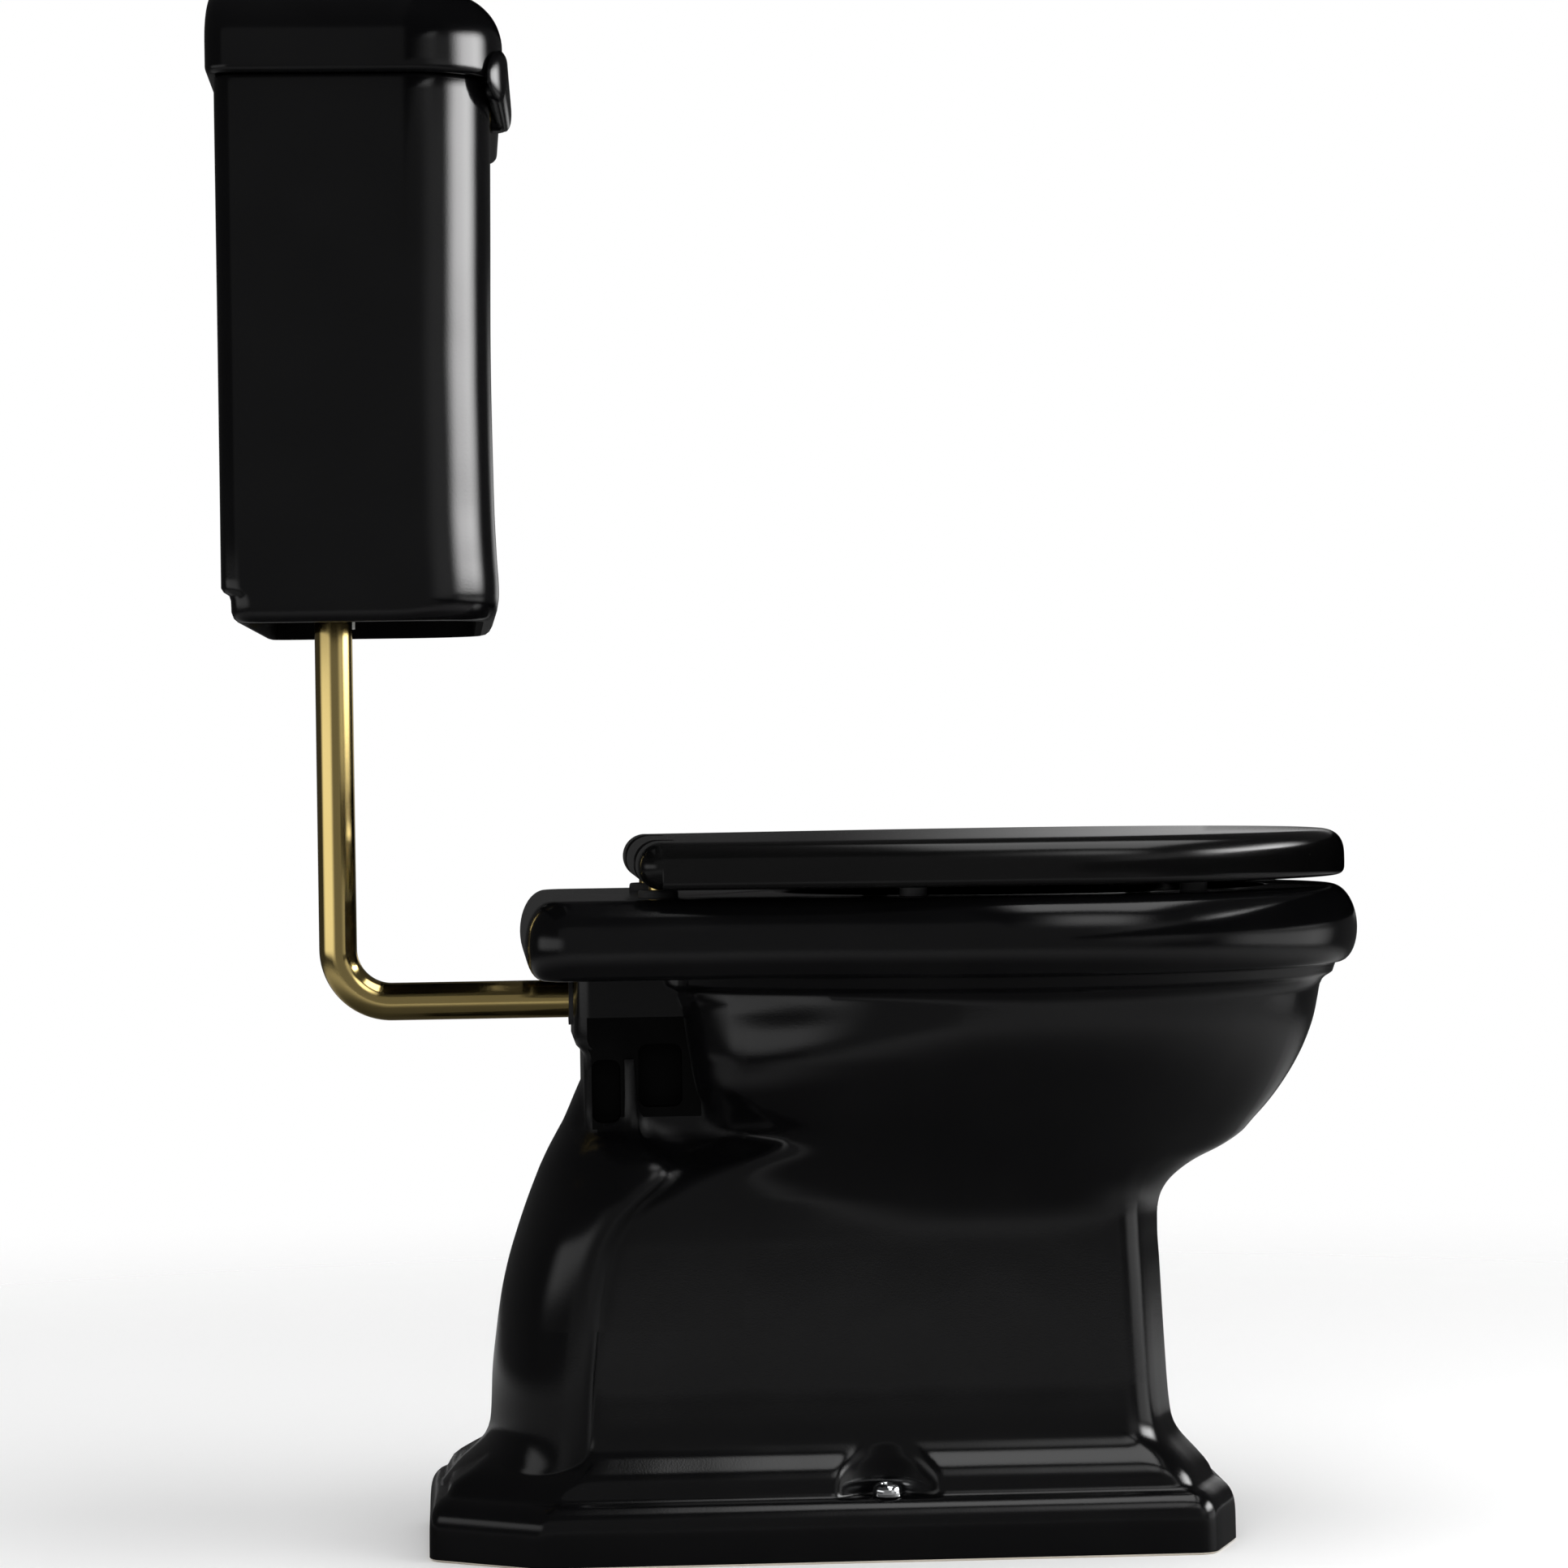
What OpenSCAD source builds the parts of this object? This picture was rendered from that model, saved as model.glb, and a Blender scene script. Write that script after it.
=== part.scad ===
// Low level toilet: a pan on a moulded plinth, a wall cistern above it and a bent metal flush pipe between.
// X is across, -Y is the front, +Z is up. Lengths are millimetres.
// Y is measured from the line of the two floor screws, and everything is drawn inside centred(),
// which moves it to the middle of the overall depth.

/* [Cistern] */
// Width of the cistern body
cistern_w = 504; // [470:2:540]
// Depth of the cistern body, front to back
cistern_d = 172; // [164:1:190]
// Height of the cistern's underside above the floor
cistern_bottom = 614; // [580:2:700]
// Height of the cistern body without its lid
cistern_h = 340; // [330:2:380]
// Wall thickness of the cistern
cistern_wall = 10; // [8:0.5:12]
// Height of the open skirt under the tank floor
skirt_h = 42; // [40:1:50]
// Plan radius of the front corners
front_corner_r = 38; // [24:1:46]
// Plan radius of the back corners
back_corner_r = 14; // [12:1:20]
// How far the foot of the back stands in from the wall face
back_step = 6; // [2:0.5:8]
// Distance from the floor screws to the wall
wall_reach = 424; // [405:1:440]

/* [Cistern lid] */
// Height of the lid
lid_h = 56; // [50:1:64]
// Overhang of the lid at the front and sides
lid_over = 8; // [6:0.5:12]
// Overhang of the lid at the back
lid_back_over = 5; // [2:0.5:8]
// Radius of the lid's top edge at the front and sides
lid_round = 34; // [24:1:38]
// Thickness of the lid's top
lid_top_t = 13; // [10:1:16]
// Depth of the lip that drops inside the tank
lid_lip = 7; // [5:0.5:10]

/* [Pan] */
// Height of the rim above the floor
rim_h = 434; // [420:1:450]
// Distance from the floor screws to the front of the rim
pan_front = 334; // [325:1:345]
// Distance from the floor screws to the back of the shelf
pan_back = 232; // [222:1:240]
// Greatest width of the rim
pan_w = 364; // [350:2:380]
// Width of the shelf behind the bowl
shelf_w = 290; // [270:2:310]
// Plan radius of the shelf's back corners
shelf_corner_r = 32; // [20:1:40]
// Inward step from the rim to the bowl below it
rim_step = 26; // [22:1:30]
// Width of the rim from its outside to the opening
rim_ring = 54; // [50:1:60]
// Height of the bowl's curve below the rim
bowl_drop = 163; // [150:1:170]
// Thickness of the ceramic round the shelf's bolt pockets
shelf_t = 14; // [12:1:18]

/* [Pedestal] */
// Width of the plinth
plinth_w = 250; // [242:2:262]
// Distance from the floor screws to the front of the plinth
plinth_front = 236; // [230:1:242]
// Distance from the floor screws to the back of the plinth
plinth_back = 300; // [292:1:306]
// Height of the ledge round the plinth
ledge_h = 41; // [38:1:44]
// Width of the pedestal's flat sides
pedestal_w = 190; // [184:2:196]
// Width of the casing over the trap
casing_w = 198; // [190:2:202]
// Radius of the recess over each floor screw
niche_r = 34; // [30:1:36]

/* [Waterway] */
// Radius of the throat behind the sump and of the way down to the outlet
trap_r = 34; // [30:1:36]
// Distance from the floor screws to the soil outlet
outlet_y = 198; // [194:1:202]
// Outside radius of the outlet spigot
spigot_r = 50; // [47:1:52]
// Gap between the floor and the end of the spigot
spigot_gap = 14; // [8:1:20]
// Drop of the flush inlet below the top of the rim
inlet_drop = 70; // [70:1:76]
// Radius of the hole for the flush cone
inlet_r = 16.5; // [15.5:0.25:16.5]
// Half width of the block round the flush inlet
neck_half_w = 56; // [50:1:56]
// Distance from the floor screws to the face of that block
neck_back = 199; // [194:1:204]

/* [Flush pipe] */
// Outside diameter of the flush pipe
pipe_d = 25.4; // [24:0.2:26]
// Wall thickness of the flush pipe
pipe_wall = 1.2; // [0.8:0.1:2]
// Centreline radius of the bend
bend_r = 36; // [34:1:42]
// Distance from the cistern's back face to the pipe's centre
pipe_in = 63; // [60:1:66]
// Length of pipe inside the flush cone
cone_len = 40; // [30:1:42]

/* [Seat] */
// Width of the seat lid
seat_w = 356; // [350:2:360]
// Distance from the floor screws to the front of the seat lid
seat_front = 326; // [320:1:328]
// Width of the seat lid at its back edge
seat_back_w = 300; // [290:2:308]
// Height of the gap between the rim and the lid's edge
seat_gap = 6.5; // [6:0.1:8]
// Thickness of the lid with its turned down edge
seat_lid_t = 31; // [30:0.5:32]
// Thickness of the lid's top
seat_top_t = 12; // [11:0.5:13]
// Thickness of the lid's turned down edge
seat_edge_t = 8; // [7:0.5:9]
// Thickness of the seat ring
ring_t = 14; // [12:0.5:14]
// Width of the seat ring's opening
ring_open_w = 216; // [200:2:226]

/* [Hinges] */
// Distance between the two hinge bolts
hinge_span = 155; // [150:1:160]
// Distance from the floor screws to the hinge axis
hinge_y = 143; // [138:1:148]
// Diameter of the hinge pins
hinge_pin_d = 8; // [6:0.5:9]
// Radial clearance of the pins in the seat and the lid
pin_clear = 0.05; // [0.02:0.01:0.1]
// Width of each hinge pillar
pillar_w = 14; // [12:0.5:16]
// Diameter of the hinge bolts
hinge_bolt_d = 8; // [6:0.5:8]

/* [Flush lever] */
// Distance from the cistern's side to the lever's pivot
lever_in = 87; // [80:1:94]
// Drop of the lever's pivot below the top of the tank
lever_drop = 14; // [13.5:0.5:18]
// Diameter of the lever's spindle
spindle_d = 9; // [8:0.5:10]
// Length of the paddle from its pivot
paddle_len = 52; // [46:1:56]
// Rise of the paddle from its pivot to its end
paddle_rise = 15; // [10:1:16]
// Travel of the lever in degrees
lever_turn = 32; // [24:1:32]

/* [Siphon] */
// Radius of the siphon's bell
bell_r = 36; // [32:1:38]
// Height of the bell
bell_h = 124; // [110:2:140]
// Distance of the bell from the cistern's middle
bell_x = 70; // [70:1:74]
// Radius of the crossover tube
cross_r = 14; // [12:0.5:14]
// Radius of the threaded tail under the tank
tail_r = 19; // [18:0.5:20]
// Radius of the lift rod
rod_r = 2.5; // [2:0.1:2.5]

/* [Fill valve] */
// Distance from the cistern's side to the fill valve
valve_in = 56; // [50:1:62]
// Radius of the threaded inlet tail
inlet_tail_r = 10.4; // [10:0.1:10.5]
// Height of the float arm's pivot above the tank floor
float_pivot_h = 242; // [230:1:250]
// Radius of the float
float_r = 32; // [28:1:34]
// Length of the float arm from its pivot to the float's middle
float_arm_len = 111; // [105:1:115]
// Droop of the float arm in degrees when the tank is empty
float_droop = 30; // [24:1:34]

/* [Fixings] */
// Distance from the middle to each floor screw
screw_x = 108; // [107:0.5:109]
// Radius of the floor screws
screw_r = 3; // [2.5:0.25:3.5]
// Radius of the caps over the floor screws
cap_r = 10; // [9:0.25:10]
// Distance from the cistern's side to each wall fixing hole
wall_hole_in = 72; // [60:1:90]
// Radius of the wall fixing holes
wall_hole_r = 4.5; // [3.5:0.5:6]
// Drop of the wall fixing holes below the top of the tank
wall_hole_drop = 62; // [50:1:90]

/* [Hidden] */
$fn = 48;

// Clearance between bodies that move past each other
gap = 0.3;
// Overlap of a cut past the face it opens
eps = 1;

// Main places in Y
body_back = wall_reach - lid_back_over;
body_front = body_back - cistern_d;
lid_front = body_front - lid_over;
pipe_y = body_back - pipe_in;
middle_y = (wall_reach - pan_front) / 2;

// Main places in X
lever_x = cistern_w / 2 - lever_in;
valve_x = cistern_w / 2 - valve_in;

// Main places in Z
inlet_z = rim_h - inlet_drop;
flare_z = rim_h - 215;
tank_floor = cistern_bottom + skirt_h + cistern_wall;
tank_top = cistern_bottom + cistern_h;
lever_z = tank_top - lever_drop;
seat_bottom = rim_h + seat_gap;
hinge_z = seat_bottom + seat_lid_t / 2;
ring_top = seat_bottom + ring_t;
lid_under = seat_bottom + seat_lid_t - seat_top_t;

// Colours
ceramic = [0.09, 0.09, 0.095];
gold = [0.83, 0.69, 0.35];
chrome = [0.78, 0.79, 0.8];
rubber = [0.16, 0.16, 0.17];
plastic = [0.86, 0.86, 0.83];

// Moves the drawing from the line of the floor screws to the middle of the depth
module centred() {
    translate([0, -middle_y, 0]) children();
}

function unit(v) = v / norm(v);

// Round corner b of the path a, b, c with radius r, in n steps
function corner_arc(a, b, c, r, n) =
    let (u = unit(a - b), v = unit(c - b), half = acos(u * v) / 2,
         centre = b + unit(u + v) * r / sin(half), p = b + u * r / tan(half) - centre,
         start = atan2(p[1], p[0]), turn = 180 - 2 * half)
    [for (i = [0 : n]) centre + r * [cos(start + turn * i / n), sin(start + turn * i / n)]];

// Closed outline with every corner rounded
function rounded(pts, radii, n) =
    let (m = len(pts))
    [for (i = [0 : m - 1]) each corner_arc(pts[(i + m - 1) % m], pts[i], pts[(i + 1) % m], radii[i], n)];

// Rectangle from y = front to y = back with different front and back corners
function box_plan(front, back, half_w, front_r, back_r, n = 6) =
    rounded([[-half_w, front], [half_w, front], [half_w, back], [-half_w, back]],
            [front_r, front_r, back_r, back_r], n);

// Egg with its widest place at y = mid
function egg_plan(front, back, half_w, mid, n = 44) =
    [for (i = [0 : n - 1])
        let (t = 360 * i / n)
        [half_w * cos(t), mid + (sin(t) > 0 ? back - mid : mid - front) * sin(t)]];

function at_height(plan, z) = [for (p = plan) [p[0], p[1], z]];

// Skin over a stack of outlines that have the same number of points
module loft(rings) {
    n = len(rings[0]);
    last = len(rings) - 1;
    polyhedron(
        points = [for (r = rings) each r],
        faces = concat(
            [[for (i = [0 : n - 1]) i]],
            [[for (i = [n - 1 : -1 : 0]) last * n + i]],
            [for (j = [0 : last - 1]) for (i = [0 : n - 1])
                [j * n + i, (j + 1) * n + i, (j + 1) * n + (i + 1) % n]],
            [for (j = [0 : last - 1]) for (i = [0 : n - 1])
                [j * n + i, (j + 1) * n + (i + 1) % n, j * n + (i + 1) % n]]));
}

// Copies at +x and -x
module both_sides(x) {
    for (side = [-1, 1]) translate([side * x, 0, 0]) children();
}

// Cylinder along +Y from y0 to y1
module rod_y(r, y0, y1) {
    translate([0, y0, 0]) rotate([-90, 0, 0]) cylinder(r = r, h = y1 - y0);
}

// Cylinder along +X from x0 to x1
module rod_x(r, x0, x1) {
    translate([x0, 0, 0]) rotate([0, 90, 0]) cylinder(r = r, h = x1 - x0);
}

module washer(outer, inner, h) {
    difference() {
        cylinder(r = outer, h = h);
        translate([0, 0, -eps]) cylinder(r = inner, h = h + 2 * eps);
    }
}

module hex_nut(outer, inner, h) {
    difference() {
        cylinder(r = outer, h = h, $fn = 6);
        translate([0, 0, -eps]) cylinder(r = inner, h = h + 2 * eps, $fn = 48);
    }
}

// The rim: an egg in front that runs into a straight shelf behind
rim_mid = -110;
shelf_start = 110;
rim_bulge = 29;
rim_deep = 52;
rim_top_in = 18;
rim_low_in = 12;
rim_under = rim_h - rim_deep;

function rim_half(inset) =
    let (w = pan_w / 2 - inset, front = rim_mid + pan_front - inset, ws = shelf_w / 2 - inset,
         r = shelf_corner_r - inset, back = pan_back - inset)
    concat(
        [for (i = [1 : 12]) let (t = -90 + 90 * i / 12) [w * cos(t), rim_mid + front * sin(t)]],
        [for (i = [1 : 6]) let (f = i / 6)
            [w + (ws - w) * (1 - cos(180 * f)) / 2, rim_mid + (shelf_start - rim_mid) * f]],
        [for (i = [0 : 6]) let (t = 90 * i / 6) [ws - r + r * cos(t), back - r + r * sin(t)]]);

function rim_plan(inset) =
    let (half = rim_half(inset), n = len(half))
    concat([[0, -pan_front + inset]], half, [for (i = [n - 1 : -1 : 0]) [-half[i][0], half[i][1]]]);

module rim() {
    loft(concat(
        [for (i = [4 : -1 : 1]) let (t = 90 * i / 4)
            at_height(rim_plan(rim_low_in * (1 - cos(t))), rim_under + (rim_deep - rim_bulge) * (1 - sin(t)))],
        [for (i = [0 : 6]) let (t = 90 * i / 6)
            at_height(rim_plan(rim_top_in * (1 - cos(t))), rim_h - rim_bulge + rim_bulge * sin(t))]));
}

// The outside of the bowl: a bead and a cove under the rim, then one full curve down to the pedestal
bowl_back = 145;
bowl_shoulder = rim_h - 63;

function bowl_plan(s) =
    egg_plan(rim_mid - (pan_front + rim_mid - rim_step) * s, rim_mid + (bowl_back - rim_mid) * s,
             (pan_w / 2 - rim_step) * s, rim_mid);

module bowl_outside() {
    power = 1.8;
    bead = [for (k = [[-9, rim_step], [0, rim_step - 3], [3, rim_step - 8], [8, rim_step - 10], [15, rim_low_in]])
        at_height(egg_plan(-pan_front + k[1], bowl_back + rim_step - k[1], pan_w / 2 - k[1], rim_mid),
                  bowl_shoulder + k[0])];
    loft(concat(
        [for (i = [9 : -1 : 1]) let (u = 0.08 + 0.79 * i / 9)
            at_height(bowl_plan(pow(1 - pow(u, power), 1 / power)), bowl_shoulder - bowl_drop * u)],
        bead));
}

// The inside of the bowl, from the sump to the underside of the box rim, then the opening
sump_z = 100;

module bowl_inside() {
    in = rim_step + 14;
    front = -pan_front;
    belly = rim_h - 194;
    steps = [
        [sump_z, -14, 50, 32],
        [sump_z + 12, -28, 60, 40],
        [belly - (belly - sump_z) * 0.57, -42, 68, 47],
        [belly - (belly - sump_z) * 0.25, -70, 72, 56],
        [belly, front + 190, 74, 72],
        [belly + 22, front + 126, 75, 92],
        [belly + 50, front + 82, 75, pan_w / 2 - in - 28],
        [belly + 90, front + 50, 74, pan_w / 2 - in - 8],
        [belly + 130, front + in, 72, pan_w / 2 - in],
        [rim_h - 37, front + in, 70, pan_w / 2 - in],
        [rim_h - 36, front + rim_ring, 54, pan_w / 2 - rim_ring],
        [rim_h - 5, front + rim_ring, 54, pan_w / 2 - rim_ring],
        [rim_h + eps, front + rim_ring - 5, 59, pan_w / 2 - rim_ring + 5]];
    loft([for (s = steps) at_height(egg_plan(s[1], s[2], s[3], (s[1] + s[2]) / 2, 40), s[0])]);
}

// Plinth and pedestal: one outline with cut corners, drawn in by the moulding
front_cut = [55, 23];
back_cut = [45, 72];
tucked_cut = [75, 50];
side_in = (plinth_w - pedestal_w) / 2;

function pedestal_plan(front_in, side, back_in, tuck, grow) =
    let (w = plinth_w / 2 - side, front = -plinth_front + front_in, back = plinth_back - back_in,
         cut = front_cut + [28, 44] * grow, rear = back_cut + (tucked_cut - back_cut) * tuck,
         r = 14 + 12 * grow)
    rounded([[cut[0] - w, front], [w - cut[0], front], [w, front + cut[1]],
             [w, back - rear[1]], [w - rear[0], back], [rear[0] - w, back],
             [-w, back - rear[1]], [-w, front + cut[1]]],
            [r, r, r, 14, 18, 18, 14, r], 3);

module pedestal() {
    foot = [[0, 2, 2, 3, 0, 0], [3, 0, 0, 0, 0, 0], [ledge_h - 11, 1.5, 1, 2, 0, 0],
            [ledge_h - 4, 4, 3.5, 6, 0, 0], [ledge_h - 0.5, 7, 8, 9, 0, 0], [ledge_h, 10, 12, 11, 0, 0],
            [ledge_h + 11, 18, 13, 17, 0, 0], [ledge_h + 20, 23, 14, 28, 0, 0],
            [ledge_h + 26, 28, side_in - 12, 38, 0.2, 0], [ledge_h + 33, 34, side_in - 6, 46, 0.5, 0],
            [ledge_h + 42, 38, side_in - 2, 54, 1, 0], [ledge_h + 55, 39.5, side_in, 56, 1, 0],
            [(ledge_h + flare_z + 41) / 2, 42.5, side_in, 60, 1, 0]];
    top = [[flare_z - 14, 44.5, side_in, 70, 1, 0], [flare_z, 45, side_in - 1, 78, 1, 0.1],
           [flare_z + 10, 42, side_in - 4, 86, 1, 0.25], [flare_z + 20, 33, side_in - 8, 96, 1, 0.5],
           [flare_z + 31, 18, side_in - 14, 112, 1, 0.8], [flare_z + 43, 0, side_in - 20, 132, 1, 1]];
    loft([for (s = concat(foot, top)) at_height(pedestal_plan(s[1], s[2], s[3], s[4], s[5]), s[0])]);
}

// Casing over the trap: its back outline, half width and front edge at each height
function casing_plan(back, half_w, edge) =
    concat([for (i = [0 : 16]) let (t = 180 * i / 16) [half_w * cos(t), edge + (back - edge) * sin(t)]],
           [[-half_w + 1.5, edge - 5], [-half_w + 7, edge - 9], [half_w - 7, edge - 9], [half_w - 1.5, edge - 5]]);

module trap_casing() {
    w = casing_w / 2;
    low = ledge_h + 41;
    rise = flare_z - 52 - low;
    steps = [[low - 38, 12, w, 198], [low - 30, 18, w, 199], [low - 21, 28, w, 200], [low - 12, 39, w, 200],
             [low, 42, w, 200], [low + rise * 0.37, 43, w, 198], [low + rise * 0.68, 46.5, w, 195.5],
             [low + rise, 50.5, w, 193], [flare_z - 29, 55.5, w, 189.5], [flare_z - 7, 62, w, 181],
             [flare_z + 9, 68, w - 1, 171], [flare_z + 21, 73, w - 3, 159], [flare_z + 31, 78, w - 7, 144],
             [flare_z + 41, 83, w - 15, 130], [flare_z + 50, 87, w - 27, 118], [flare_z + 56, 90, w - 38, 112],
             [flare_z + 62, 93, w - 49, 106], [flare_z + 86, 104, w - 54, 98], [flare_z + 111, 116, w - 58, 92]];
    loft([for (s = steps) at_height(casing_plan(plinth_back - s[1], s[2], s[3]), s[0])]);
}

// Block that carries the flush inlet under the shelf, with a thin rib on each side
module inlet_neck() {
    foot_back = neck_back - 6;
    low = flare_z + 43;
    step = inlet_z - 33;
    top = rim_under + 4;
    translate([0, 0, low]) linear_extrude(top - low) polygon(box_plan(40, foot_back, neck_half_w, 10, 12));
    translate([0, 0, step]) linear_extrude(top - step) polygon(box_plan(60, neck_back, neck_half_w, 10, 12));
    both_sides(neck_half_w) translate([0, neck_back - 36, inlet_z - 88]) cylinder(r = 3.2, h = 50);
}

// Two blind pockets in each side of that block
module neck_pockets() {
    pockets = [[neck_back - 30, neck_back - 11, inlet_z - 80, inlet_z - 38],
               [neck_back - 71, neck_back - 42, inlet_z - 70, inlet_z - 28]];
    for (side = [-1, 1]) for (p = pockets)
        translate([side * (neck_half_w - 8), 0, 0]) rotate([90, 0, 90]) linear_extrude(20, center = true)
            polygon(rounded([[p[0], p[2]], [p[1], p[2]], [p[1], p[3]], [p[0], p[3]]], [6, 6, 6, 6], 4));
}

// Hollow under the pedestal: deep in front of the sump, shallow below it
module foot_hollow() {
    half_w = pedestal_w / 2 - 15;
    translate([0, 0, -eps]) linear_extrude(ledge_h + 35 + eps)
        polygon(box_plan(60 - plinth_front, outlet_y - 50, half_w, 20, 12, 4));
    translate([0, 0, -eps]) linear_extrude(flare_z - 25 + eps)
        polygon(box_plan(60 - plinth_front, -76, half_w, 20, 12, 4));
}

// Throat: the start of the trap, up and back from the sump. The bend behind it stays solid.
throat_len = 110;

module throat() {
    translate([0, 0, sump_z + 12]) rotate([-45, 0, 0]) cylinder(r = trap_r, h = throat_len);
}

// Way down through the spigot
module outlet_way() {
    translate([0, outlet_y, -eps]) cylinder(r = trap_r, h = flare_z - 24 + eps);
}

module outlet_pocket() {
    translate([0, outlet_y, -eps]) difference() {
        cylinder(r = spigot_r + 14, h = 60 + eps);
        translate([0, 0, spigot_gap + eps]) cylinder(r = spigot_r, h = 60);
    }
}

// Way for the flush water: the cone's hole, a chamber, and three small jets into the bowl
cone_hole = cone_len + 5;
chamber_y = 92;
jet_y = 50;
jet_r = 3;
jet_step = 9;

module flush_way() {
    translate([0, 0, inlet_z]) {
        rod_y(inlet_r, neck_back - cone_hole, neck_back + eps);
        rod_y(inlet_r - 4, chamber_y, neck_back - cone_hole + eps);
        for (x = [-jet_step, 0, jet_step]) translate([x, 0, 0]) rod_y(jet_r, jet_y, chamber_y + eps);
    }
}

module hinge_holes() {
    both_sides(hinge_span / 2) translate([0, hinge_y, 0]) {
        translate([0, 0, rim_h - 60]) cylinder(r = hinge_bolt_d / 2 + 2.5, h = 60 + eps);
        translate([0, 0, rim_h - 60]) cylinder(r = 18, h = 60 - shelf_t);
    }
}

// Recess over each floor screw: an upright cylinder with a round top
module screw_niches() {
    both_sides(screw_x + niche_r - 11) {
        translate([0, 0, ledge_h]) cylinder(r = niche_r, h = 18);
        translate([0, 0, ledge_h + 18]) rotate_extrude() intersection() {
            circle(r = niche_r);
            square(niche_r);
        }
    }
}

module pan() {
    color(ceramic) centred() difference() {
        union() {
            pedestal();
            trap_casing();
            inlet_neck();
            bowl_outside();
            rim();
        }
        bowl_inside();
        foot_hollow();
        throat();
        outlet_way();
        outlet_pocket();
        flush_way();
        neck_pockets();
        hinge_holes();
        screw_niches();
        both_sides(screw_x) translate([0, 0, -eps]) cylinder(r = screw_r + 1, h = ledge_h + 2 * eps);
    }
}

// Rubber cone that seals the pipe in the pan, with a lip on the face of the block
cone_lip = 1.2;
cone_lip_t = 2.5;

module flush_cone() {
    color(rubber) centred() translate([0, 0, inlet_z]) difference() {
        union() {
            rod_y(inlet_r, neck_back - cone_len, neck_back + cone_lip_t);
            rod_y(inlet_r + cone_lip, neck_back, neck_back + cone_lip_t);
        }
        rod_y(pipe_d / 2, neck_back - cone_len - eps, neck_back + cone_lip_t + eps);
    }
}

screw_head_z = ledge_h + 2;

module floor_screws() {
    color(chrome) centred() both_sides(screw_x) {
        cylinder(r = screw_r, h = screw_head_z);
        translate([0, 0, screw_head_z]) cylinder(r = screw_r * 2, h = 3);
    }
}

module screw_washers() {
    color(plastic) centred() both_sides(screw_x) translate([0, 0, ledge_h])
        washer(cap_r - 2, screw_r, screw_head_z - ledge_h);
}

// Domed cap that snaps over the washer and hides the screw's head
module screw_caps() {
    color(chrome) centred() both_sides(screw_x) translate([0, 0, ledge_h]) difference() {
        union() {
            cylinder(r = cap_r, h = 3);
            intersection() {
                translate([0, 0, 3 + 6.5 - cap_r * 1.1]) sphere(r = cap_r * 1.1);
                translate([0, 0, 3]) cylinder(r = cap_r, h = 10);
            }
        }
        translate([0, 0, -eps]) cylinder(r = cap_r - 2, h = 6 + eps);
    }
}

// Hinge pillar: a round foot, a post and a head with the pin's hole
pillar_r = 7.6;
foot_r = 12;
foot_t = 3;
gasket_t = 1.5;

module hinge_pillars() {
    base = rim_h + gasket_t;
    color(gold) centred() both_sides(hinge_span / 2) translate([0, hinge_y, 0]) difference() {
        union() {
            translate([0, 0, base]) cylinder(r = foot_r, h = foot_t);
            translate([0, 0, base]) cylinder(r = pillar_w / 2 - 0.5, h = hinge_z - base);
            translate([0, 0, hinge_z]) rod_x(pillar_r, -pillar_w / 2, pillar_w / 2);
        }
        translate([0, 0, hinge_z]) rod_x(hinge_pin_d / 2, -pillar_w, pillar_w);
        translate([0, 0, base - eps]) cylinder(r = hinge_bolt_d / 2, h = foot_t + 4 + eps);
    }
}

hinge_nut_h = 7;
hinge_washer_h = 2.5;

module hinge_bolts() {
    bottom = rim_h - shelf_t - hinge_washer_h - hinge_nut_h - 4;
    color(chrome) centred() both_sides(hinge_span / 2) translate([0, hinge_y, bottom])
        cylinder(r = hinge_bolt_d / 2, h = rim_h + gasket_t + foot_t + 4 - bottom);
}

module hinge_gaskets() {
    color(rubber) centred() both_sides(hinge_span / 2) translate([0, hinge_y, rim_h])
        washer(foot_r, hinge_bolt_d / 2, gasket_t);
}

module hinge_washers() {
    color(plastic) centred() both_sides(hinge_span / 2)
        translate([0, hinge_y, rim_h - shelf_t - hinge_washer_h])
            washer(hinge_bolt_d / 2 + 10, hinge_bolt_d / 2, hinge_washer_h);
}

module hinge_nuts() {
    color(chrome) centred() both_sides(hinge_span / 2)
        translate([0, hinge_y, rim_h - shelf_t - hinge_washer_h - hinge_nut_h])
            hex_nut(hinge_bolt_d / 2 + 5, hinge_bolt_d / 2, hinge_nut_h);
}

// Across each hinge: pillar, a knuckle of the ring on both sides of it, then the lid's own edge
knuckle_w = 9;
knuckle_out = pillar_w / 2 + gap + knuckle_w;
notch_half = knuckle_out + gap + 0.7;
pin_half = notch_half + 9;

module hinge_pins() {
    color(chrome) centred() both_sides(hinge_span / 2) translate([0, hinge_y, hinge_z])
        rod_x(hinge_pin_d / 2, -pin_half, pin_half);
}

// Outline of the lid in plan. The ring's outline is the same one drawn in.
seat_mid = -112;
lid_r = seat_lid_t / 2;

function seat_half(inset) =
    let (w = seat_w / 2 - inset, front = seat_mid + seat_front - inset, wb = seat_back_w / 2 - inset)
    concat(
        [for (i = [1 : 12]) let (t = -90 + 90 * i / 12) [w * cos(t), seat_mid + front * sin(t)]],
        [for (i = [1 : 7]) let (f = i / 7)
            [w + (wb - w) * (1 - cos(90 * f)), seat_mid + (hinge_y - seat_mid) * f]]);

function seat_plan(inset, back = 0) =
    let (half = [for (p = seat_half(inset)) [p[0], min(p[1], hinge_y - back)]], n = len(half))
    concat([[0, inset - seat_front]], half, [for (i = [n - 1 : -1 : 0]) [-half[i][0], half[i][1]]]);

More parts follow.
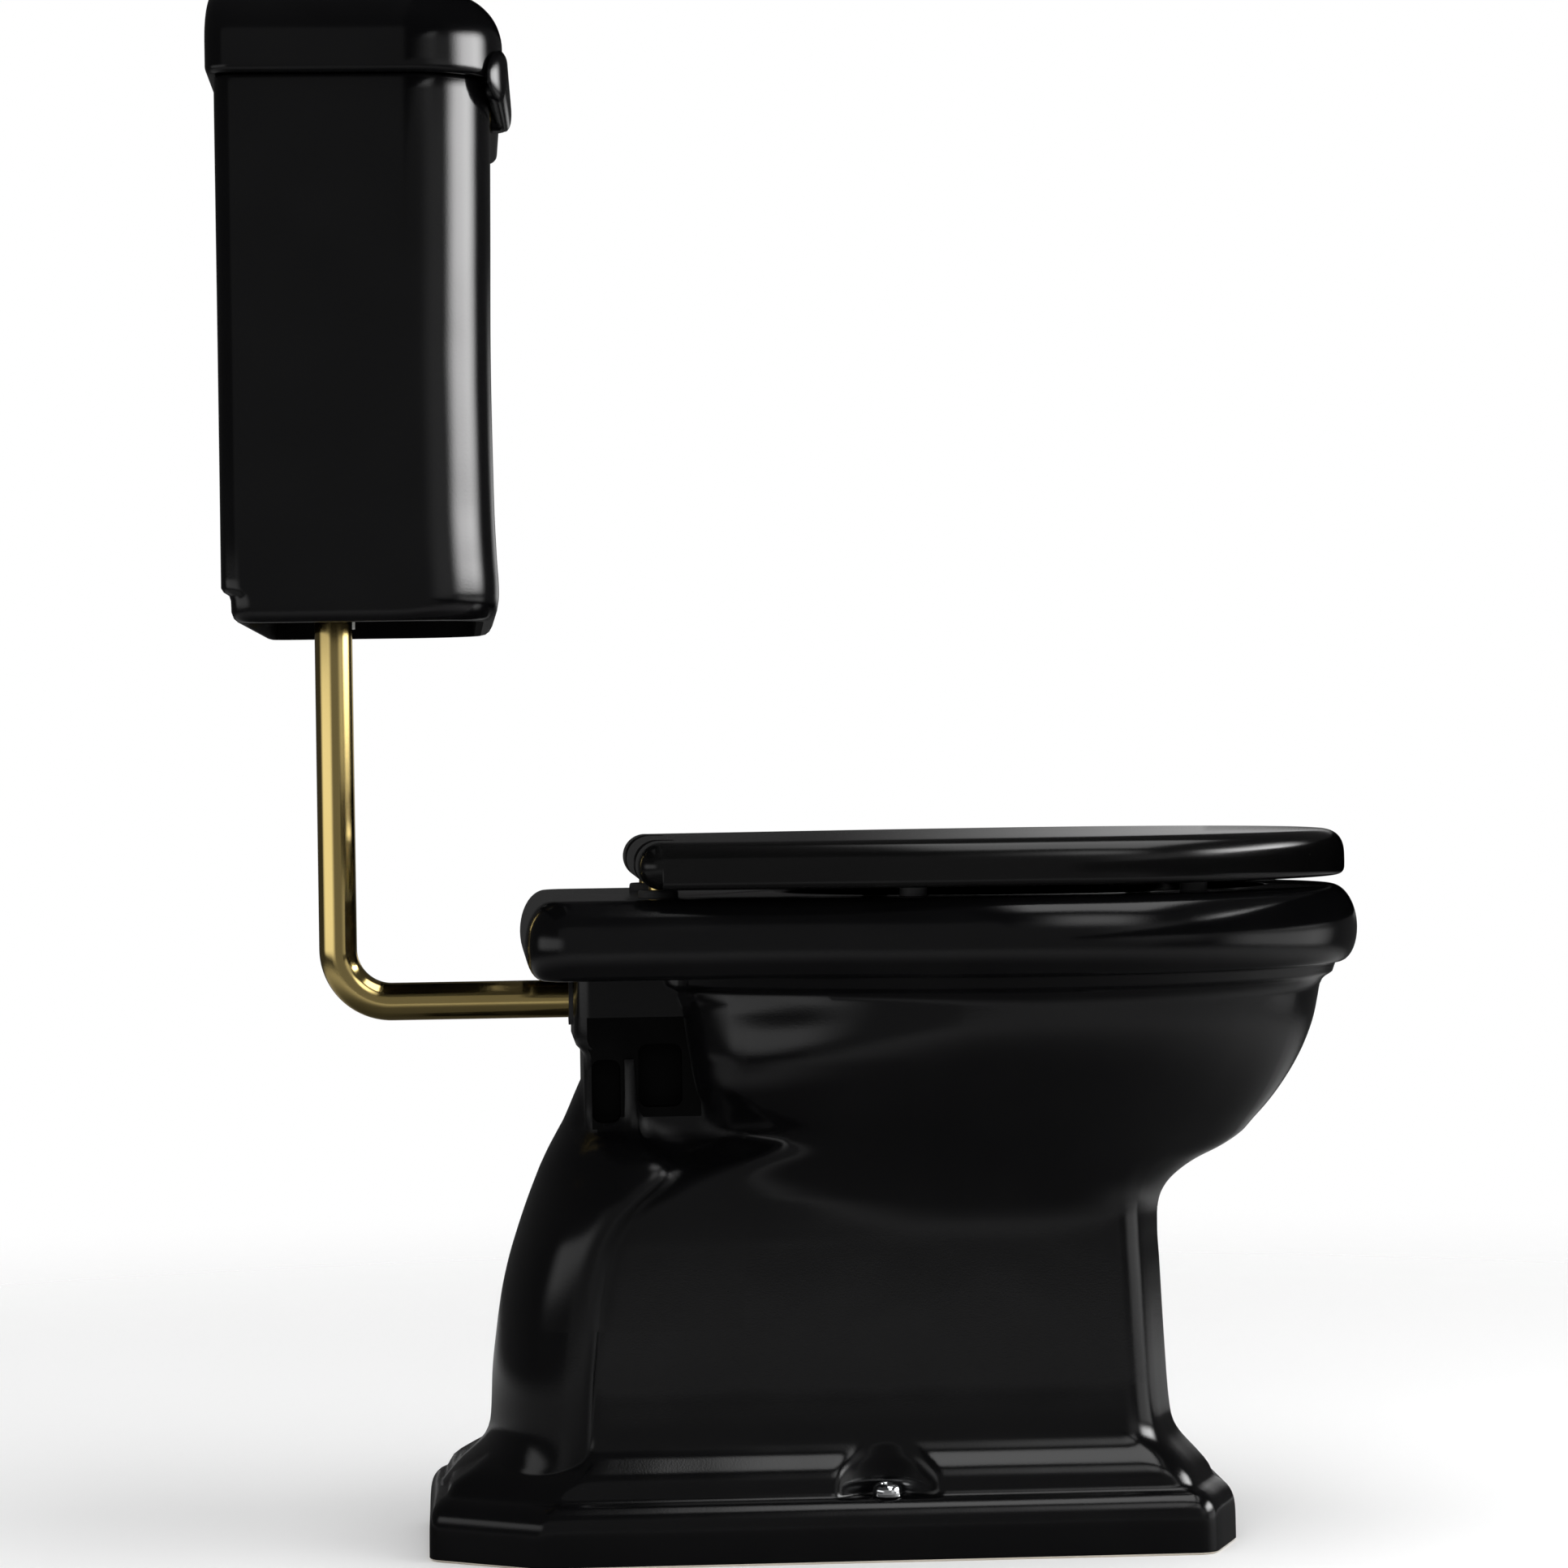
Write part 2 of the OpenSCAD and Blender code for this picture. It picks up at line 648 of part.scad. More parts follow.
module seat_ring() {
    edge = seat_edge_t + 2.5;
    back = lid_r + 2;
    head_back = hinge_y - pillar_r - 2;
    color(ceramic) centred() difference() {
        union() {
            difference() {
                loft([
                    at_height(seat_plan(edge + 3, back), seat_bottom),
                    at_height(seat_plan(edge, back), seat_bottom + 3),
                    at_height(seat_plan(edge, back), ring_top - 5),
                    at_height(seat_plan(edge + 1.5, back), ring_top - 1.8),
                    at_height(seat_plan(edge + 5, back), ring_top)]);
                loft([for (s = [[-eps, 3], [4, 0], [ring_t - 5, 0], [ring_t - 1.5, 3], [ring_t + eps, 9]])
                    at_height(egg_plan(76 - seat_front - s[1], hinge_y - 121 + s[1],
                                       ring_open_w / 2 + s[1], seat_mid - 4, 40), seat_bottom + s[0])]);
            }
            for (side = [-1, 1]) for (end = [-1, 1])
                translate([side * hinge_span / 2 + end * (knuckle_out - knuckle_w / 2), 0, 0]) {
                    translate([0, hinge_y, hinge_z]) rod_x(8, -knuckle_w / 2, knuckle_w / 2);
                    translate([-knuckle_w / 2, head_back - 12, hinge_z - 8])
                        cube([knuckle_w, hinge_y - head_back + 12, 8]);
                }
        }
        both_sides(hinge_span / 2) translate([0, hinge_y, hinge_z])
            rod_x(hinge_pin_d / 2 + pin_clear, -knuckle_out - eps, knuckle_out + eps);
    }
}

// Rubber feet under the ring: how far back from the seat's front and in from its side
buffer_r = 9;
buffers = [[121, 54], [306, 40]];

module at_buffers() {
    for (b = buffers) both_sides(seat_w / 2 - b[1]) translate([0, b[0] - seat_front, 0]) children();
}

module ring_buffers() {
    color(rubber) centred() at_buffers()
        translate([0, 0, rim_h + gap]) cylinder(r = buffer_r, h = seat_bottom - rim_h - gap);
}

// Lid: a shallow shell that closes over the ring, with a round back edge on the hinge axis
module seat_lid() {
    top = seat_bottom + seat_lid_t;
    half_back = seat_back_w / 2 - lid_r;
    color(ceramic) centred() difference() {
        union() {
            difference() {
                loft([
                    at_height(seat_plan(4), seat_bottom),
                    at_height(seat_plan(1), seat_bottom + 2),
                    at_height(seat_plan(0), seat_bottom + 5),
                    at_height(seat_plan(0), top - 17),
                    at_height(seat_plan(1), top - 9),
                    at_height(seat_plan(4), top - 3.5),
                    at_height(seat_plan(9), top - 0.8),
                    at_height(seat_plan(16), top)]);
                translate([0, 0, seat_bottom - eps]) linear_extrude(lid_under - seat_bottom + eps)
                    polygon(seat_plan(seat_edge_t));
            }
            translate([0, hinge_y, hinge_z]) rod_x(lid_r, -half_back, half_back);
            for (side = [-1, 1]) translate([side * half_back, hinge_y, hinge_z]) sphere(r = lid_r);
        }
        both_sides(hinge_span / 2) {
            translate([-notch_half, hinge_y - pillar_r - 3, seat_bottom - eps])
                cube([2 * notch_half, 2 * lid_r, seat_lid_t + 2 * eps]);
            translate([-notch_half, hinge_y - lid_r - 2, seat_bottom - eps])
                cube([2 * notch_half, lid_r, lid_under - seat_bottom + eps]);
            translate([0, hinge_y, hinge_z])
                rod_x(hinge_pin_d / 2 + pin_clear, -pin_half - eps, pin_half + eps);
        }
    }
}

// Rubber feet under the lid, resting on the ring
module lid_buffers() {
    color(rubber) centred() at_buffers()
        translate([0, 0, ring_top + gap]) cylinder(r = buffer_r - 2, h = lid_under - ring_top - gap);
}

// Tank: a tall box with large front corners, a slight waist and a drawn-in foot
module cistern_body() {
    w = cistern_w / 2;
    steps = [[0, 8, back_step + 6], [3, 3, back_step + 2], [9, 0, back_step], [17, -1, back_step],
             [21, -1, 0], [40, 0, 0], [75, 1.2, 0], [160, 2, 0], [cistern_h - 90, 1, 0], [cistern_h, 0, 0]];
    inside = tank_floor - cistern_bottom;
    color(ceramic) centred() difference() {
        translate([0, 0, cistern_bottom])
            loft([for (s = steps)
                at_height(box_plan(body_front + s[1], body_back - s[2], w - max(s[1], 0) * 0.8,
                                   front_corner_r, back_corner_r), s[0])]);
        translate([0, 0, cistern_bottom + inside]) linear_extrude(cistern_h)
            polygon(box_plan(body_front + cistern_wall, body_back - cistern_wall, w - cistern_wall,
                             front_corner_r - cistern_wall, 10));
        translate([0, 0, cistern_bottom - eps]) linear_extrude(skirt_h + eps)
            polygon(box_plan(body_front + cistern_wall + 4, body_back - back_step - cistern_wall,
                             w - cistern_wall - 4, front_corner_r - cistern_wall - 4, 8));
        translate([0, pipe_y, tank_floor - cistern_wall - eps])
            cylinder(r = tail_r + 1.5, h = cistern_wall + 2 * eps);
        translate([valve_x, pipe_y, tank_floor - cistern_wall - eps])
            cylinder(r = valve_shank_r + 1, h = cistern_wall + 2 * eps);
        translate([-lever_x, 0, lever_z])
            rod_y(spindle_d / 2 + 3.5, body_front - 2 * eps, body_front + cistern_wall + 2 * eps);
        both_sides(w - wall_hole_in) translate([0, 0, tank_top - wall_hole_drop])
            rod_y(wall_hole_r, body_back - cistern_wall - eps, body_back + eps);
    }
}

// Lid: round over the front and sides, nearly square at the back, with a lip inside the tank
module cistern_lid() {
    w = cistern_w / 2 + lid_over;
    bottom = tank_top + gap;
    round_steps = 6;
    low = [[0, 2.5], [2, 0.8], [5, 0], [lid_h - lid_round - gap, 0]];
    in_lip = cistern_wall + 1.5;
    color(ceramic) centred() {
        difference() {
            translate([0, 0, bottom]) loft(concat(
                [for (s = low) at_height(box_plan(lid_front + s[1], wall_reach - s[1], w - s[1],
                    front_corner_r + lid_over - s[1], 16), s[0])],
                [for (i = [1 : round_steps])
                    let (t = 90 * i / round_steps, in = lid_round * (1 - cos(t)), back = 7 * (1 - cos(t)))
                    at_height(box_plan(lid_front + in, wall_reach - back, w - in,
                        front_corner_r + lid_over - in * 0.9, 16 - back),
                        lid_h - gap - lid_round * (1 - sin(t)))]));
            translate([0, 0, bottom - eps]) linear_extrude(lid_h - lid_top_t - gap + eps)
                polygon(box_plan(body_front + 22, body_back - 14, w - 30, 22, 8));
        }
        translate([0, 0, bottom - lid_lip]) difference() {
            linear_extrude(lid_lip + 6) polygon(box_plan(body_front + in_lip, body_back - in_lip,
                cistern_w / 2 - in_lip, front_corner_r - in_lip, 9));
            translate([0, 0, -eps]) linear_extrude(lid_lip + 6 + 2 * eps)
                polygon(box_plan(body_front + 22, body_back - 18, w - 30, 22, 8));
            translate([-lever_x - 16, body_front, -eps]) cube([32, 30, lid_lip + eps]);
        }
    }
}

// Flush pipe: down from the cistern, round the bend and level into the pan
tail_bottom = tank_floor - skirt_h + 8;
seal_t = 3;

module pipe_run(r) {
    bend_y = pipe_y - bend_r;
    translate([0, pipe_y, inlet_z + bend_r]) cylinder(r = r, h = tail_bottom - seal_t - inlet_z - bend_r);
    translate([0, bend_y, inlet_z + bend_r]) rotate([90, 0, 90]) rotate([0, 0, -90])
        rotate_extrude(angle = 90) translate([bend_r, 0]) circle(r = r);
    translate([0, 0, inlet_z]) rod_y(r, neck_back - cone_len, bend_y);
}

module flush_pipe() {
    color(gold) centred() difference() {
        pipe_run(pipe_d / 2);
        pipe_run(pipe_d / 2 - pipe_wall);
        translate([0, 0, inlet_z])
            rod_y(pipe_d / 2 - pipe_wall, neck_back - cone_len - eps, neck_back);
        translate([0, pipe_y, tail_bottom - seal_t - 10]) cylinder(r = pipe_d / 2 - pipe_wall, h = 10 + eps);
    }
}

// Cap nut that clamps the pipe to the siphon's tail
pipe_nut_h = 18;

module pipe_nut() {
    color(gold) centred() translate([0, pipe_y, tail_bottom - seal_t - 4]) difference() {
        cylinder(r = tail_r + 7, h = pipe_nut_h, $fn = 6);
        translate([0, 0, -eps]) cylinder(r = pipe_d / 2 + 0.2, h = pipe_nut_h, $fn = 48);
        translate([0, 0, 4]) cylinder(r = tail_r, h = pipe_nut_h, $fn = 48);
    }
}

module pipe_seal() {
    color(rubber) centred() translate([0, pipe_y, tail_bottom - seal_t])
        washer(tail_r, pipe_d / 2 - pipe_wall, seal_t);
}

// Siphon: a bell over the plunger, a crossover tube and a tail through the tank floor
bell_bottom = tank_floor + 8;
bell_top = bell_bottom + bell_h;
cross_span = bell_x - 20;
cross_z = bell_top + 8;
tube_wall = 2.5;

module siphon_tubes(cut) {
    r = cross_r - cut;
    translate([-cross_span, pipe_y, bell_top - 3]) cylinder(r = r, h = cross_z - bell_top + 3);
    translate([-cross_span / 2, pipe_y, cross_z]) rotate([90, 0, 0]) rotate_extrude(angle = 180)
        translate([cross_span / 2, 0]) circle(r = r);
    translate([0, pipe_y, tank_floor]) cylinder(r = r, h = cross_z - tank_floor);
}

module siphon_body() {
    color(plastic) centred() difference() {
        union() {
            translate([-bell_x, pipe_y, bell_bottom]) cylinder(r = bell_r, h = bell_h);
            siphon_tubes(0);
            translate([0, pipe_y, tail_bottom]) cylinder(r = tail_r, h = tank_floor + 4 - tail_bottom);
            translate([0, pipe_y, tank_floor + 3]) cylinder(r = tail_r + 8, h = 5);
            translate([-bell_x / 2 - 6, pipe_y - 5, bell_bottom + 40]) cube([bell_x / 2, 10, bell_h - 60]);
        }
        siphon_tubes(tube_wall);
        translate([-bell_x, pipe_y, bell_bottom - eps]) cylinder(r = bell_r - tube_wall, h = bell_h - 3 + eps);
        translate([-cross_span, pipe_y, bell_top - 4]) cylinder(r = cross_r - tube_wall, h = 6);
        translate([-bell_x, pipe_y, bell_top - 5]) cylinder(r = rod_r + 0.5, h = 8);
        translate([0, pipe_y, tail_bottom - eps]) cylinder(r = cross_r - tube_wall, h = 40);
        translate([0, pipe_y, tank_floor - 5]) cylinder(r = cross_r - tube_wall, h = 12);
    }
}

backnut_h = 9;

module siphon_backnut() {
    color(plastic) centred() translate([0, pipe_y, tank_floor - cistern_wall - 3 - backnut_h])
        hex_nut(tail_r + 10, tail_r, backnut_h);
}

// One washer above the tank floor and one below it
module siphon_washers() {
    color(rubber) centred() for (z = [tank_floor, tank_floor - cistern_wall - 3])
        translate([0, pipe_y, z]) washer(tail_r + 8, tail_r, 3);
}

// Lever and lift gear
rod_x0 = -bell_x;
arm_len = lever_x - bell_x;
arm_y = pipe_y - 8;
arm_droop = lever_turn / 2;
hook_z = lever_z - arm_len * sin(arm_droop);
hook_pin_r = 3;
slot_clear = 0.6;
disc_z = bell_bottom + 6;

module siphon_plunger() {
    color(plastic) centred() translate([rod_x0, pipe_y, disc_z]) difference() {
        union() {
            washer(bell_r - tube_wall - 1, rod_r, 4);
            washer(8, rod_r, 12);
        }
        for (a = [0 : 60 : 300]) rotate([0, 0, a]) translate([19, 0, -eps]) cylinder(r = 6, h = 4 + 2 * eps);
    }
}

module plunger_flap() {
    color(rubber) centred() translate([rod_x0, pipe_y, disc_z + 4])
        washer(bell_r - tube_wall - 2, 8, 0.8);
}

// Rod from the plunger up to a slotted plate that hangs on the arm's pin
module lift_rod() {
    plate_h = 2 * hook_pin_r + 12;
    plate_w = 34;
    color(chrome) centred() {
        translate([rod_x0, pipe_y, disc_z]) cylinder(r = rod_r, h = hook_z - plate_h / 2 + 1 - disc_z);
        translate([rod_x0, pipe_y, hook_z]) difference() {
            translate([-plate_w / 2, -1.5, -plate_h / 2]) cube([plate_w, 3, plate_h]);
            for (x = [-8, 8]) translate([x, 0, 0]) rod_y(hook_pin_r + slot_clear, -3, 3);
            translate([-8, -3, -hook_pin_r - slot_clear]) cube([16, 6, 2 * (hook_pin_r + slot_clear)]);
        }
    }
}

// Back of the handle, and how far the spindle goes into it
lever_back = lid_front - 2 * gap;
lever_grip = 2.4;

module lever_spindle() {
    color(chrome) centred() translate([-lever_x, 0, lever_z])
        rod_y(spindle_d / 2, lever_back - lever_grip, arm_y + 3);
}

// Arm inside the tank, with the pin that carries the lift rod
module lever_arm() {
    color(chrome) centred() translate([-lever_x, arm_y, lever_z]) rotate([0, arm_droop, 0]) difference() {
        union() {
            rod_y(spindle_d / 2 + 4, -3, 3);
            translate([0, -2, -5]) cube([arm_len, 4, 10]);
            translate([arm_len, 0, 0]) rod_y(5, -2, 2);
            translate([arm_len, 0, 0]) rod_y(hook_pin_r, 1, 12);
        }
        rod_y(spindle_d / 2, -4, 4);
    }
}

// Bush through the tank wall with a flange and a collar in front and a nut behind
flange_t = 2;

module lever_bush() {
    color(gold) centred() translate([-lever_x, 0, lever_z]) difference() {
        union() {
            rod_y(spindle_d / 2 + 3, body_front, body_front + cistern_wall + 10);
            rod_y(spindle_d / 2 + 7, body_front - flange_t, body_front);
            rod_y(spindle_d / 2 + 4.5, lever_back + gap, body_front - flange_t + eps);
        }
        rod_y(spindle_d / 2 + pin_clear, lever_back, body_front + cistern_wall + 15);
    }
}

module lever_nut() {
    color(gold) centred() translate([-lever_x, body_front + cistern_wall, lever_z]) rotate([-90, 0, 0])
        hex_nut(spindle_d / 2 + 7, spindle_d / 2 + 3, 6);
}

// Ceramic handle: one leaf, from a round hub on the spindle to a broad paddle near the tank's side
module lever_handle() {
    hub_t = 2.6;
    paddle_t = 2.1;
    color(ceramic) centred() difference() {
        hull() {
            translate([-lever_x, lever_back - hub_t, lever_z]) scale([1, hub_t / 12, 1]) sphere(r = 12, $fn = 20);
            translate([-lever_x - paddle_len, lever_back - paddle_t, lever_z + paddle_rise])
                scale([1, paddle_t / 17, 1]) sphere(r = 17, $fn = 20);
        }
        translate([-lever_x, 0, lever_z]) rod_y(spindle_d / 2, lever_back - lever_grip, lever_back + eps);
    }
}

// Fill valve: a threaded tail through the tank floor, a riser and a head with the arm's pivot
valve_head_z = tank_floor + float_pivot_h;
inlet_bottom = cistern_bottom + 6;
pivot_x = valve_x - 14;
valve_shank_r = inlet_tail_r + 0.6;
valve_nut_h = 8;
valve_nut_z = tank_floor - cistern_wall - 3 - valve_nut_h;

module fill_valve() {
    color(plastic) centred() {
        difference() {
            union() {
                translate([valve_x, pipe_y, inlet_bottom]) cylinder(r = inlet_tail_r, h = valve_nut_z - inlet_bottom);
                translate([valve_x, pipe_y, valve_nut_z]) cylinder(r = valve_shank_r, h = tank_floor + 6 - valve_nut_z);
                translate([valve_x, pipe_y, tank_floor + 3]) cylinder(r = 17, h = 5);
                translate([valve_x, pipe_y, tank_floor]) cylinder(r = 8, h = float_pivot_h - 8);
                translate([valve_x, pipe_y, valve_head_z - 14]) cylinder(r = 13, h = 26);
                translate([pivot_x - 8, pipe_y - 9, valve_head_z - 8]) cube([20, 18, 16]);
            }
            translate([pivot_x - 20, pipe_y - 3.3, valve_head_z - 10]) cube([26, 6.6, 20]);
            translate([pivot_x, pipe_y, valve_head_z]) rod_y(2, -12, 12);
            translate([valve_x, pipe_y, inlet_bottom - eps]) cylinder(r = 6, h = valve_head_z - 20 - inlet_bottom);
        }
        translate([pivot_x, pipe_y, valve_head_z]) rod_y(2, -9, 9);
    }
}

module valve_backnut() {
    color(plastic) centred() translate([valve_x, pipe_y, valve_nut_z])
        hex_nut(valve_shank_r + 6, valve_shank_r, valve_nut_h);
}

module valve_washers() {
    color(rubber) centred() for (z = [tank_floor, tank_floor - cistern_wall - 3])
        translate([valve_x, pipe_y, z]) washer(valve_shank_r + 5, valve_shank_r, 3);
}

float_boss = 5;

module float_arm() {
    color(gold) centred() translate([pivot_x, pipe_y, valve_head_z]) rotate([0, -float_droop, 0]) difference() {
        union() {
            rod_y(5, -3, 3);
            rod_x(2.5, -float_arm_len + float_r + float_boss, -4);
        }
        rod_y(2 + pin_clear, -4, 4);
    }
}

// Float: a closed can with rounded edges and a boss for the arm
module float_ball() {
    h = 24;
    edge = 8;
    color(plastic) centred() translate([pivot_x, pipe_y, valve_head_z]) rotate([0, -float_droop, 0])
            translate([-float_arm_len, 0, 0]) {
        translate([0, 0, -edge]) {
            for (z = [edge - h, h - edge]) translate([0, 0, z]) rotate_extrude()
                translate([float_r - edge, 0]) circle(r = edge);
            translate([0, 0, edge - h]) cylinder(r = float_r, h = 2 * (h - edge));
            translate([0, 0, -h]) cylinder(r = float_r - edge, h = 2 * h);
        }
        rod_x(5, float_r - 4, float_r + float_boss);
    }
}

pan();
flush_cone();
floor_screws();
screw_washers();
screw_caps();
hinge_pillars();
hinge_bolts();
hinge_gaskets();
hinge_washers();
hinge_nuts();
hinge_pins();
seat_ring();
ring_buffers();
seat_lid();
lid_buffers();
cistern_body();
cistern_lid();
flush_pipe();
pipe_nut();
pipe_seal();
siphon_body();
siphon_backnut();
siphon_washers();
siphon_plunger();
plunger_flap();
lift_rod();
lever_handle();
lever_bush();
lever_nut();
lever_spindle();
lever_arm();
fill_valve();
valve_backnut();
valve_washers();
float_arm();
float_ball();
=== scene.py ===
import bpy
import bmesh
from math import acos, atan2, ceil, cos, hypot, pi, radians, sin, sqrt, tan
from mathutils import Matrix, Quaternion, Vector


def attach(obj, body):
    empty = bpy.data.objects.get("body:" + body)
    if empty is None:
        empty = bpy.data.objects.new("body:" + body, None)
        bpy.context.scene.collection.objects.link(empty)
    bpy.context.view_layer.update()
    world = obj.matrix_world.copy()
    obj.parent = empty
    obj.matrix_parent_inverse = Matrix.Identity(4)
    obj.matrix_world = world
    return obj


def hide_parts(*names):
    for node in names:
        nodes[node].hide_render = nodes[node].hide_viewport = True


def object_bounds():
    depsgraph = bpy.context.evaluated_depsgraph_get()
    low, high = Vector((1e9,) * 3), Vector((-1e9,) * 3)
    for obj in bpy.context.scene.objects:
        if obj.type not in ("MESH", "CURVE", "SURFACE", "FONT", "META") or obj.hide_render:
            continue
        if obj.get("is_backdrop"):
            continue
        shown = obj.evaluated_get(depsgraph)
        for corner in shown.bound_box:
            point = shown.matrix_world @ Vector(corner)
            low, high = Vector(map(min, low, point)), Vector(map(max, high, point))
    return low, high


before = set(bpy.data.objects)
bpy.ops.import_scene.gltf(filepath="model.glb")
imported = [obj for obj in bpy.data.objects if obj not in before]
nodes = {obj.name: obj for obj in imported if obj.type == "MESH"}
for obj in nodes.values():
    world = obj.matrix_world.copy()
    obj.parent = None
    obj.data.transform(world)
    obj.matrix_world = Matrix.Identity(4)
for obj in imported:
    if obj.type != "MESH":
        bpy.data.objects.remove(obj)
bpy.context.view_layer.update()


# ---- Pan -------------------------------------------------------------------------------------
# One piece of slip-cast fireclay under a black glaze: a plinth with cut corners, a pedestal, a bowl
# with a box rim and a shelf, and a rounded casing over the trap. It is cast hollow and stands on
# its own foot. Sizes are millimetres from the line of the two floor screws, which lies in front of the
# middle of the whole toilet.
screw_line = 45


def at(x, y, z):
    return Vector((x, y - screw_line, z)) / 1000


def skin(bm, outlines):
    """Closed skin through a stack of outlines, each extruded from the one before."""
    circle = bmesh.ops.create_circle(bm, segments=len(outlines[0]), radius=0.1)["verts"]
    ring = circle[:1]
    while len(ring) < len(circle):
        beside = [e.other_vert(ring[-1]) for e in ring[-1].link_edges]
        ring.append(next(v for v in beside if v not in ring[-2:]))
    for i, outline in enumerate(outlines):
        if i:
            grown = bmesh.ops.extrude_edge_only(bm, edges=edges)["geom"]
            fresh = {g for g in grown if isinstance(g, bmesh.types.BMVert)}
            ring = [next(e.other_vert(v) for e in v.link_edges if e.other_vert(v) in fresh)
                    for v in ring]
        for v, place in zip(ring, outline):
            v.co = place
        edges = [bm.edges.get(pair) for pair in zip(ring, ring[1:] + ring[:1])]
        if i in (0, len(outlines) - 1):
            bmesh.ops.contextual_create(bm, geom=edges)


def flowing(keys, gap=5.0):
    """Rows on a smooth curve through the key rows. A key given twice keeps a sharp corner."""
    reach = [0.0]
    for a, b in zip(keys, keys[1:]):
        reach.append(reach[-1] + sqrt(sum((p - q) ** 2 for p, q in zip(a[:3], b[:3]))))
    rows = [keys[0]]
    for i in range(len(keys) - 1):
        span = reach[i + 1] - reach[i]
        if span < 1e-6:
            continue
        steps = max(1, ceil(span / gap))

        def lean(j, c):
            """Slope of column c at key j, level where the column turns back."""
            here = (keys[i + 1][c] - keys[i][c]) / span
            k = j - 1 if j == i else j + 1
            if not 0 <= k < len(keys) or abs(reach[j] - reach[k]) < 1e-6:
                return here
            there = (keys[j][c] - keys[k][c]) / (reach[j] - reach[k])
            return 2 * here * there / (here + there) if here * there > 0 else 0.0

        for n in range(1, steps + 1):
            t = n / steps
            rows.append(tuple(
                keys[i][c] * (2 * t ** 3 - 3 * t ** 2 + 1) + keys[i + 1][c] * (3 * t ** 2 - 2 * t ** 3)
                + span * (lean(i, c) * (t ** 3 - 2 * t ** 2 + t) + lean(i + 1, c) * (t ** 3 - t ** 2))
                for c in range(len(keys[i]))))
    return rows


def round_plan(corners, radii, sides, arc=5):
    """Plan with every corner rounded. Each side is cut into so many steps, or at the given y."""
    bends = []
    for i, corner in enumerate(corners):
        here = Vector(corner)
        back = (Vector(corners[i - 1]) - here).normalized()
        on = (Vector(corners[(i + 1) % len(corners)]) - here).normalized()
        half = back.angle(on) / 2
        centre = here + (back + on).normalized() * radii[i] / sin(half)
        start = here + back * radii[i] / tan(half) - centre
        turn = pi - 2 * half
        bends.append([centre + Vector((start.x * cos(t) - start.y * sin(t),
                                       start.x * sin(t) + start.y * cos(t)))
                      for t in (turn * k / arc for k in range(arc + 1))])
    points = []
    for bend, on, side in zip(bends, bends[1:] + bends[:1], sides):
        a, b = bend[-1], on[0]
        if isinstance(side, int):
            points += bend + [a.lerp(b, k / side) for k in range(1, side)]
        else:
            points += bend + [a.lerp(b, (y - a.y) / (b.y - a.y)) for y in side]
    return points


def egg(front, back, half, widest, count=96):
    """Egg in plan, with its widest place at y = widest."""
    places = []
    for i in range(count):
        t = 2 * pi * i / count
        length = back - widest if sin(t) > 0 else widest - front
        places.append(Vector((half * cos(t), widest + length * sin(t))))
    return places


def level(plan, z):
    return [at(p[0], p[1], z) for p in plan]


def in_order(bm):
    """Sorts the parts of a bmesh by their places, so that each run builds the very same mesh."""
    for parts, place in ((bm.verts, lambda v: v.co),
                         (bm.edges, lambda e: e.verts[0].co + e.verts[1].co),
                         (bm.faces, lambda f: f.calc_center_median())):
        by_place = sorted(parts, key=lambda part: place(part).to_tuple(7))
        rank = {part: i for i, part in enumerate(by_place)}
        parts.sort(key=rank.get)


def piece(name, bm, material=None, smooth=38):
    """Object from a bmesh, with its sharp edges marked by angle."""
    bmesh.ops.recalc_face_normals(bm, faces=bm.faces)
    in_order(bm)
    mesh = bpy.data.meshes.new(name)
    bm.to_mesh(mesh)
    bm.free()
    obj = bpy.data.objects.new(name, mesh)
    bpy.context.scene.collection.objects.link(obj)
    if material:
        mesh.materials.append(material)
    crease(obj, smooth)
    return obj


def coat(obj, material, where):
    """Second material on the faces whose middle passes the test, in millimetres from the screw line."""
    obj.data.materials.append(material)
    for face in obj.data.polygons:
        x, y, z = face.center * 1000
        if where(abs(x), y + screw_line, z, face.normal):
            face.material_index = len(obj.data.materials) - 1


def crease(obj, angle):
    """Smooth shading, with the edges over an angle left sharp."""
    bm = bmesh.new()
    bm.from_mesh(obj.data)
    for face in bm.faces:
        face.smooth = True
    for edge in bm.edges:
        edge.smooth = len(edge.link_faces) == 2 and edge.calc_face_angle(0) < radians(angle)
    bm.to_mesh(obj.data)
    bm.free()


merged = 0.00002  # metres between places that count as one


def cast(obj, steps, smooth=38):
    """Joins or cuts obj with the given pieces in turn, then keeps the result as its mesh."""
    for how, tool in steps:
        m = obj.modifiers.new(tool.name, "BOOLEAN")
        m.operation, m.solver, m.object = how, "EXACT", tool
    bpy.context.view_layer.update()
    done = obj.evaluated_get(bpy.context.evaluated_depsgraph_get())
    mesh = bpy.data.meshes.new_from_object(done)
    obj.modifiers.clear()
    obj.data = mesh
    for _, tool in steps:
        bpy.data.objects.remove(tool)
    bm = bmesh.new()
    bm.from_mesh(mesh)
    bmesh.ops.remove_doubles(bm, verts=bm.verts, dist=merged)
    bmesh.ops.dissolve_degenerate(bm, edges=bm.edges, dist=merged)
    bm.to_mesh(mesh)
    bm.free()
    crease(obj, smooth)


